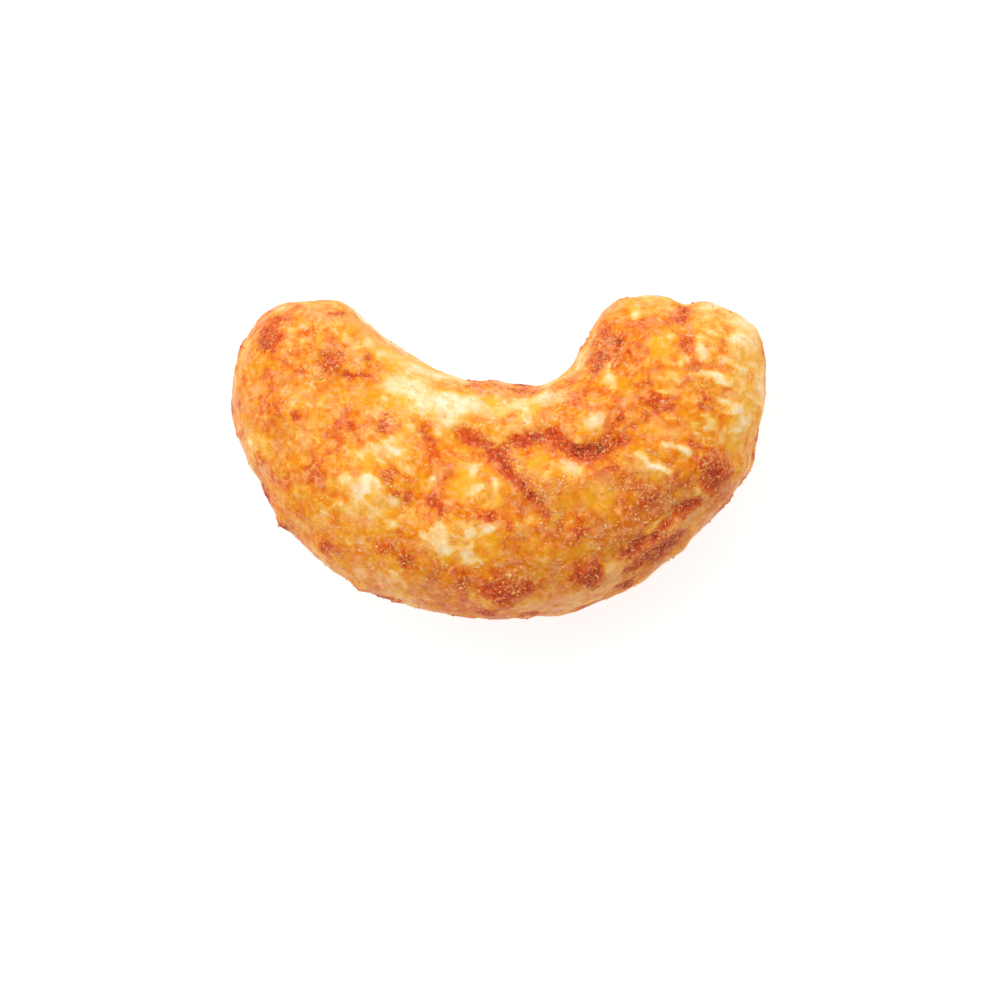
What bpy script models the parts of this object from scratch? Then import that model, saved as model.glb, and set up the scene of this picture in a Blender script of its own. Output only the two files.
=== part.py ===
"""Roasted cashew kernel: one solid, lying on its side with its horns towards +Y.

The kernel is lofted like a small hull. Each station across the crescent gives the point on
the convex back, the point on the hollow side, and the heights of the lowest and highest
points between them. The skin over the stations is then folded, dented and crusted along its
own normals, and cut level at the three low points on which the kernel rests.
"""

import math
import random

import bmesh
import bpy
from mathutils import Vector, noise

MM = 0.001

# Stations from the tip of the left horn to the tip of the right one, in millimetres:
# point on the back, point on the hollow side, lowest and highest height between them.
LEFT_TIP = (-9.5, 8.0)
STATIONS = (
    ((-11.75, 6.8), (-7.2, 7.8), 2.3, 6.6),
    ((-12.75, 4.7), (-6.1, 6.95), 0.7, 8.1),
    ((-12.95, 2.2), (-4.7, 5.75), -0.3, 8.9),
    ((-11.8, -0.8), (-2.8, 4.6), 0.3, 9.6),
    ((-9.3, -4.0), (-1.2, 4.0), 0.9, 10.2),
    ((-6.0, -6.55), (-0.1, 3.95), 0.5, 10.5),
    ((-1.9, -7.5), (1.2, 3.8), -0.25, 10.6),
    ((2.2, -7.7), (2.4, 3.75), 0.05, 10.5),
    ((6.1, -6.35), (3.5, 4.35), 0.7, 10.2),
    ((9.35, -4.0), (4.2, 5.5), 0.8, 9.8),
    ((12.05, -1.1), (4.7, 6.55), 0.2, 9.4),
    ((13.1, 2.2), (5.2, 7.65), -0.3, 9.0),
    ((13.2, 5.5), (6.7, 8.0), 1.1, 7.7),
)
RIGHT_TIP = (11.05, 7.8)
TIP_HEIGHT = 4.4

# Cross-section of a limb: 2 is an ellipse, and more is squarer. The back is the thicker side.
SECTION_POWER = 2.12
BACK_THICKENING = 0.09

# Strips of the first rough skin, round a section and along the crescent between the horn
# caps, and how many stations each horn cap covers.
STRIPS_ACROSS = 20
STRIPS_ALONG = 80
CAP_STATIONS = 2.3

# Side of the even quads that replace the rough skin, and the passes that smooth them before
# the relief is raised and after it.
SKIN_QUAD = 0.51
SMOOTHING_BEFORE, SMOOTHING_AFTER = 6, 2

# Slow and quick waves of the skin, in millimetres, and how much the skin has shrunk overall.
SLOW_WAVE, SLOW_HEIGHT = 5.2, 0.26
QUICK_WAVE, QUICK_HEIGHT = 1.9, 0.12
SHRINKAGE = 0.05

# The relief fades out between these two heights, so the resting spots stay plain.
CALM_BELOW, LIVELY_ABOVE = 0.25, 1.1

# Points this near the table are moved onto it, so that the cut leaves no slivers.
TABLE_REACH = 0.07

# Where the two seed leaves meet, round the back and the hollow side. The seam climbs into
# view on the right of the back, where the kernel is twisted.
SEAM_WIDTH, SEAM_DEPTH, SEAM_WANDER = 0.55, 0.30, 0.8
SEAM_LEVEL, SEAM_CLIMB = 4.8, 2.7
SEAM_CLIMB_PLACE, SEAM_CLIMB_REACH = (8.2, -4.6), 4.2

# Folds of the skin: face, width, depth, then the route as (X, Y) points.
FOLDS = (
    ("upper", 0.62, 0.60, ((-2.4, 1.4), (-1.0, 0.8), (0.1, -0.3), (0.7, -1.3), (1.8, -2.4))),
    ("upper", 0.55, 0.35, ((1.8, -2.4), (2.8, -3.4))),
    ("upper", 0.62, 0.55, ((0.2, 0.7), (2.4, 1.1), (3.1, 0.6), (3.8, 0.2), (4.8, 0.5), (6.2, 1.3))),
    ("upper", 0.60, 0.26, ((-3.7, 2.0), (-3.4, 0.4), (-3.0, -1.7))),
    ("upper", 0.60, 0.24, ((6.9, 2.9), (7.7, 2.7), (8.6, 2.0))),
    ("upper", 0.55, 0.34, ((10.3, -1.1), (9.0, -2.3), (7.9, -3.4), (6.4, -4.5))),
    ("both", 0.58, 0.45, ((9.2, 8.6), (9.1, 6.6), (9.2, 5.4))),
    ("lower", 0.65, 0.40, ((-8.6, 1.2), (-6.8, -0.8), (-5.6, -3.0), (-3.9, -4.4))),
    ("lower", 0.60, 0.34, ((3.4, -0.6), (5.0, 0.4), (6.6, 2.0), (7.4, 4.2))),
    ("lower", 0.60, 0.28, ((6.2, -3.2), (7.9, -2.0), (9.6, -0.2))),
)

# Broad swellings (height above 0) and dents (below 0): face, X, Y, radius, height.
SWELLINGS = (
    ("upper", -2.6, 3.1, 1.5, 0.22),
    ("upper", 2.6, -0.8, 1.2, 0.30),
    ("upper", -1.0, -1.2, 1.3, 0.22),
    ("upper", -2.2, -3.6, 1.6, 0.20),
    ("upper", -6.6, -1.2, 1.7, 0.22),
    ("upper", 4.5, 2.0, 1.0, 0.26),
    ("upper", 7.4, -0.2, 1.4, 0.20),
    ("upper", 8.0, -3.9, 1.0, 0.22),
    ("upper", -4.0, -2.2, 1.1, -0.20),
    ("upper", -7.6, 3.9, 1.3, -0.22),
    ("upper", -10.6, 2.4, 1.2, -0.14),
    ("upper", 5.6, 5.0, 1.2, -0.20),
    ("upper", 5.0, -2.4, 1.3, -0.18),
    ("lower", -9.2, 4.4, 1.8, 0.14),
    ("lower", 2.6, -4.6, 1.8, -0.20),
    ("lower", 8.6, 1.0, 1.5, -0.26),
    ("lower", -5.4, 1.6, 1.6, -0.24),
)

# Clots of seasoning that stand out of the skin: face, X, Y, radius, height.
CLOTS = (
    ("upper", -11.1, 5.5, 0.80, 0.16),
    ("upper", -10.7, 6.6, 0.55, 0.12),
    ("upper", -8.2, 5.0, 0.75, 0.15),
    ("upper", -6.7, 4.6, 0.80, 0.17),
    ("upper", -9.9, 2.1, 0.70, 0.15),
    ("upper", -5.7, 1.5, 0.55, 0.12),
    ("upper", -5.1, -1.4, 0.60, 0.14),
    ("upper", -3.1, -2.1, 0.60, 0.16),
    ("upper", -0.2, -2.8, 0.50, 0.12),
    ("upper", 3.7, 0.3, 0.45, 0.10),
    ("upper", 5.5, 5.9, 0.70, 0.15),
    ("upper", 7.2, 2.7, 0.55, 0.14),
    ("upper", 9.4, 4.6, 0.55, 0.12),
    ("upper", 9.8, 2.6, 0.55, 0.12),
    ("upper", 10.4, -0.8, 0.75, 0.20),
    ("upper", 4.5, -5.7, 0.75, 0.24),
    ("upper", 1.4, -6.4, 0.60, 0.16),
    ("upper", 0.2, -6.7, 0.75, 0.18),
    ("upper", -4.9, -4.8, 0.60, 0.13),
    ("upper", -8.5, -4.3, 0.55, 0.14),
    ("upper", 3.7, -3.7, 0.55, 0.12),
)
LOOSE_CLOTS = 60
LOOSE_CLOT_RADIUS = (0.50, 0.85)
LOOSE_CLOT_HEIGHT = (0.12, 0.26)
SEED = 26

KERNEL_COLOUR = (0.855, 0.338, 0.069, 1.0)
KERNEL_ROUGHNESS = 0.46


def curve_value(values, at):
    """Catmull-Rom value at a place counted in stations, for numbers or vectors."""
    first = min(max(int(math.floor(at)), 0), len(values) - 4)
    t = at - first
    a, b, c, d = values[first : first + 4]
    slope = c - a
    bend = 2 * a - 5 * b + 4 * c - d
    twist = 3 * b - 3 * c + d - a
    return 0.5 * (2 * b + slope * t + bend * t**2 + twist * t**3)


def with_ends(values, before, after):
    """The values with one more at each end, which sets the slope there."""
    return [before, *values, after]


def rounded(value):
    """A sine or cosine bent from an ellipse to the squarer section of a limb."""
    return math.copysign(abs(value) ** (2 / SECTION_POWER), value)


class Hull:
    """The lofted form, before any fold or crust. Places along it are counted in stations."""

    def __init__(self):
        left, right = Vector(LEFT_TIP), Vector(RIGHT_TIP)
        backs = [left, *(Vector(s[0]) for s in STATIONS), right]
        hollows = [left, *(Vector(s[1]) for s in STATIONS), right]
        middles = [TIP_HEIGHT, *((s[2] + s[3]) / 2 for s in STATIONS), TIP_HEIGHT]
        halves = [0.0, *((s[3] - s[2]) / 2 for s in STATIONS), 0.0]
        self.length = len(backs) - 1
        self.backs = with_ends(backs, hollows[1], hollows[-2])
        self.hollows = with_ends(hollows, backs[1], backs[-2])
        self.middles = with_ends(middles, middles[1], middles[-2])
        self.halves = with_ends(halves, -halves[1], -halves[-2])

    def point(self, at, angle):
        """A point of the skin: angle 0 is the back, a quarter turn is the top."""
        back = curve_value(self.backs, at)
        hollow = curve_value(self.hollows, at)
        across = rounded(math.cos(angle))
        up = rounded(math.sin(angle))
        level = (back + hollow) / 2 + (back - hollow) / 2 * across
        half = curve_value(self.halves, at) * (1 + BACK_THICKENING * across)
        return Vector((level.x, level.y, curve_value(self.middles, at) + half * up))


def lattice_box(bm):
    """A box of side 2 cut into strips: long ones along X, and the same number along Y and Z."""
    bmesh.ops.create_cube(bm, size=2.0)
    for axis, strips in ((0, STRIPS_ALONG), (1, STRIPS_ACROSS), (2, STRIPS_ACROSS)):
        along = [e for e in bm.edges if abs(e.verts[0].co[axis] - e.verts[1].co[axis]) > 1e-6]
        bmesh.ops.subdivide_edges(bm, edges=along, cuts=strips - 1, use_grid_fill=True)


def place_on_hull(co, hull):
    """Where a point of the lattice box goes: its ends close over as the horn caps."""
    ring = max(abs(co.y), abs(co.z))
    if abs(co.x) > 1 - 1e-6:
        at = CAP_STATIONS * ring if co.x < 0 else hull.length - CAP_STATIONS * ring
    else:
        at = CAP_STATIONS + (hull.length - 2 * CAP_STATIONS) * (co.x + 1) / 2
    if ring < 1e-6:
        angle = 0.0
    elif abs(co.y) >= abs(co.z):
        angle = math.pi / 4 * co.z / abs(co.y)
        angle = angle if co.y > 0 else math.pi - angle
    else:
        angle = math.pi / 4 * co.y / abs(co.z)
        angle = math.pi / 2 - angle if co.z > 0 else angle - math.pi / 2
    return hull.point(at, angle)


def rough_skin(hull):
    """The hull as a closed mesh of uneven strips, in millimetres."""
    bm = bmesh.new()
    lattice_box(bm)
    for vertex in bm.verts:
        vertex.co = place_on_hull(vertex.co, hull)
    bmesh.ops.recalc_face_normals(bm, faces=bm.faces[:])
    mesh = bpy.data.meshes.new("rough_skin")
    bm.to_mesh(mesh)
    bm.free()
    return mesh


def even_skin(rough):
    """The rough skin rebuilt from even quads and smoothed, as a bmesh."""
    carrier = bpy.data.objects.new("rough_skin", rough)
    bpy.context.scene.collection.objects.link(carrier)
    remesh = carrier.modifiers.new("even_quads", "REMESH")
    remesh.mode = "VOXEL"
    remesh.voxel_size = SKIN_QUAD
    remesh.adaptivity = 0.0
    bm = bmesh.new()
    bm.from_object(carrier, bpy.context.evaluated_depsgraph_get())
    bpy.data.objects.remove(carrier)
    bpy.data.meshes.remove(rough)
    smooth(bm, SMOOTHING_BEFORE)
    return bm


def smooth(bm, passes):
    """Evens out the skin by moving each point towards its neighbours."""
    for _ in range(passes):
        bmesh.ops.smooth_vert(
            bm, verts=bm.verts[:], factor=0.5, use_axis_x=True, use_axis_y=True, use_axis_z=True
        )
    bm.normal_update()


def distance_to_route(place, route):
    """Distance from a point to a line of straight pieces, level with the table."""
    nearest = math.inf
    for start, end in zip(route, route[1:]):
        start, end = Vector(start), Vector(end)
        step = end - start
        share = min(max((place - start).dot(step) / step.length_squared, 0.0), 1.0)
        nearest = min(nearest, (place - start - step * share).length)
    return nearest


def on_face(face, normal):
    """How much a point belongs to a face, from its normal: 1 well inside it, 0 on the other."""
    if face == "both":
        return 1.0
    tilt = normal.z if face == "upper" else -normal.z
    return min(max(0.5 + 2.5 * tilt, 0.0), 1.0)


def bell(distance, radius):
    """A smooth hump: 1 at the centre, nearly nothing at two radii."""
    return math.exp(-((distance / radius) ** 2))


def seam_height(co):
    """Height at which the seam runs, which wanders along the kernel."""
    wander = SEAM_WANDER * noise.noise(Vector((co.x, co.y, 0.0)) * 0.16)
    climb = SEAM_CLIMB * bell((co.xy - Vector(SEAM_CLIMB_PLACE)).length, SEAM_CLIMB_REACH)
    return SEAM_LEVEL + wander + climb


def skin_waves(co):
    """The slow swell and quick unevenness of the shrunken skin, in millimetres."""
    slow = noise.noise(co / SLOW_WAVE + Vector((3.1, 0.4, 7.7)))
    quick = noise.noise(co / QUICK_WAVE + Vector((9.2, 5.8, 1.3)))
    return SLOW_HEIGHT * slow + QUICK_HEIGHT * quick


def loose_clots(hull):
    """Small clots of seasoning scattered over the whole skin, as (centre, radius, height)."""
    draw = random.Random(SEED)
    return [
        (
            hull.point(draw.uniform(0.5, hull.length - 0.5), draw.uniform(0.0, math.tau)),
            draw.uniform(*LOOSE_CLOT_RADIUS),
            draw.uniform(*LOOSE_CLOT_HEIGHT),
        )
        for _ in range(LOOSE_CLOTS)
    ]


def relief(co, normal, scattered):
    """How far the skin stands out from the plain hull at a point, in millimetres."""
    level = co.xy
    height = skin_waves(co) - SHRINKAGE
    for face, width, depth, route in FOLDS:
        height -= depth * on_face(face, normal) * bell(distance_to_route(level, route), width)
    for face, x, y, radius, rise in SWELLINGS + CLOTS:
        height += rise * on_face(face, normal) * bell((level - Vector((x, y))).length, radius)
    upright = 1 - abs(normal.z)
    height -= SEAM_DEPTH * upright * bell(co.z - seam_height(co), SEAM_WIDTH)
    for centre, radius, rise in scattered:
        height += rise * bell((co - centre).length, radius)
    lively = (co.z - CALM_BELOW) / (LIVELY_ABOVE - CALM_BELOW)
    return height * min(max(lively, 0.0), 1.0)


def cut_level(bm):
    """Cuts the underside off at the table, and closes each low point with one flat face."""
    for vertex in bm.verts:
        if abs(vertex.co.z) < TABLE_REACH:
            vertex.co.z = 0.0
    bmesh.ops.bisect_plane(
        bm,
        geom=bm.verts[:] + bm.edges[:] + bm.faces[:],
        dist=1e-3,
        plane_co=(0, 0, 0),
        plane_no=(0, 0, -1),
        clear_outer=True,
    )
    rims = [e for e in bm.edges if e.is_boundary]
    bmesh.ops.edgeloop_fill(bm, edges=rims)


def centre_over_origin(bm):
    """Moves the kernel level until the middle of its outline stands over the origin."""
    middle = Vector((0, 0, 0))
    for axis in (0, 1):
        reach = [v.co[axis] for v in bm.verts]
        middle[axis] = (min(reach) + max(reach)) / 2
    bmesh.ops.translate(bm, verts=bm.verts[:], vec=-middle)


def kernel_material():
    """The roasted, seasoned skin."""
    material = bpy.data.materials.new("roasted_skin")
    material.use_nodes = True
    shader = material.node_tree.nodes["Principled BSDF"]
    shader.inputs["Base Color"].default_value = KERNEL_COLOUR
    shader.inputs["Roughness"].default_value = KERNEL_ROUGHNESS
    shader.inputs["Metallic"].default_value = 0.0
    return material


def build_kernel():
    """The whole kernel, as one closed mesh."""
    hull = Hull()
    bm = even_skin(rough_skin(hull))
    scattered = loose_clots(hull)
    moved = [v.co + v.normal * relief(v.co, v.normal, scattered) for v in bm.verts]
    for vertex, place in zip(bm.verts, moved):
        vertex.co = place
    smooth(bm, SMOOTHING_AFTER)
    cut_level(bm)
    centre_over_origin(bm)
    bmesh.ops.scale(bm, vec=(MM, MM, MM), verts=bm.verts[:])
    bmesh.ops.recalc_face_normals(bm, faces=bm.faces[:])
    mesh = bpy.data.meshes.new("cashew_kernel")
    bm.to_mesh(mesh)
    bm.free()
    mesh.shade_smooth()
    mesh.materials.append(kernel_material())
    kernel = bpy.data.objects.new("cashew_kernel", mesh)
    bpy.context.scene.collection.objects.link(kernel)


for old in list(bpy.data.objects):
    bpy.data.objects.remove(old)
build_kernel()
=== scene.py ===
"""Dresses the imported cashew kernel: roasted skin, spice crust, salt and powder, in a soft white studio.

All lengths in the finishes and marks are millimetres, on the kernel's own frame: +X runs from the
left horn to the right one, +Y from the convex back to the horn tips, and +Z is up.
"""

import logging
import math
from dataclasses import dataclass, field
from enum import Enum

import bpy
import numpy as np
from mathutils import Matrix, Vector, kdtree, noise


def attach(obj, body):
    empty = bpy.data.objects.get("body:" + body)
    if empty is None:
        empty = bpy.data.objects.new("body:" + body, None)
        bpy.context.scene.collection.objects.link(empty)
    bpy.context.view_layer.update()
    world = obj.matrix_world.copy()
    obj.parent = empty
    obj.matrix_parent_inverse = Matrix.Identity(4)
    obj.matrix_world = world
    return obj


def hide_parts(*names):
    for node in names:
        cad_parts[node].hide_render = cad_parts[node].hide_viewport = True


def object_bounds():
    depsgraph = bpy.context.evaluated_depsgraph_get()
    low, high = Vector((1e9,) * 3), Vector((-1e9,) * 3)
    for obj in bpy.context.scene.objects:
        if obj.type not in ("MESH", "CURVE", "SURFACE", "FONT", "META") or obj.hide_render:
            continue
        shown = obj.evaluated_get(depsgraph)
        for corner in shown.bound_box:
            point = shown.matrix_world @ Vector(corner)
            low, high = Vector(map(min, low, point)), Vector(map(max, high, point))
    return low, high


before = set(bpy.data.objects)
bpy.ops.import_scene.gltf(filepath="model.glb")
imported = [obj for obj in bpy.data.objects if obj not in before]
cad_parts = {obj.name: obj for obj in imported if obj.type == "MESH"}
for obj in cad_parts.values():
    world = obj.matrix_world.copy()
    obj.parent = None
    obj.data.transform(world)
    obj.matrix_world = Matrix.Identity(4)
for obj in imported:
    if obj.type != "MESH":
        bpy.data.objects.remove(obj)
CAD_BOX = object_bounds()

LOG = logging.getLogger("cashew")
MM = 0.001
NODE = "cashew_kernel"
BODY = "root"
# Attribute from which the skin's colour is darkened in hollows as painted shade.
HOLLOW_SHADE = "hollow"
NUMBER = "number"
WHITE = (1.0, 1.0, 1.0, 1.0)

Point = tuple[float, float]


def paint(code: str) -> tuple[float, float, float, float]:
    """Turns a six-digit screen colour into the linear colour that a shader takes.

    Args:
        code: Red, green and blue as two hexadecimal digits each.

    Returns:
        The linear colour, opaque.
    """
    channels = [int(code[i : i + 2], 16) / 255 for i in (0, 2, 4)]
    linear = [c / 12.92 if c <= 0.04045 else ((c + 0.055) / 1.055) ** 2.4 for c in channels]
    return (*linear, 1.0)


class Tone(Enum):
    """The ways in which the skin is stained, some of them partly painted light, sheen or shade. Each value
    names the attribute that holds it.
    """

    # Cream also holds painted light along the edges.
    CREAM = "cream"
    GOLD = "gold"
    AMBER = "amber"
    # Peach is partly painted sheen along the rims.
    PEACH = "peach"
    RUST = "rust"
    SCORCH = "scorch"
    # Ochre is partly painted shade on the lower right.
    OCHRE = "ochre"
    CRYSTAL = "crystal"


@dataclass(frozen=True)
class Mark:
    """One stain on the upper face: a soft round dab, or a stroke along a route.

    Attributes:
        route: One point for a dab, or the points of a stroke, in millimetres.
        reach: Distance at which the stain has faded to about a third.
        strength: How full the stain is at its middle, from 0 to 1.
    """

    route: tuple[Point, ...]
    reach: float
    strength: float = 1.0


def dabs(*places: tuple[float, float, float, float]) -> tuple[Mark, ...]:
    """Round stains, each given as X, Y, reach and strength."""
    return tuple(Mark(((x, y),), reach, strength) for x, y, reach, strength in places)


def stroke(reach: float, strength: float, *route: Point) -> tuple[Mark, ...]:
    """One stain drawn along a route."""
    return (Mark(tuple(route), reach, strength),)


# Pale flesh, and along the edges painted light that lightens edges which would otherwise shade darker.
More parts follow.
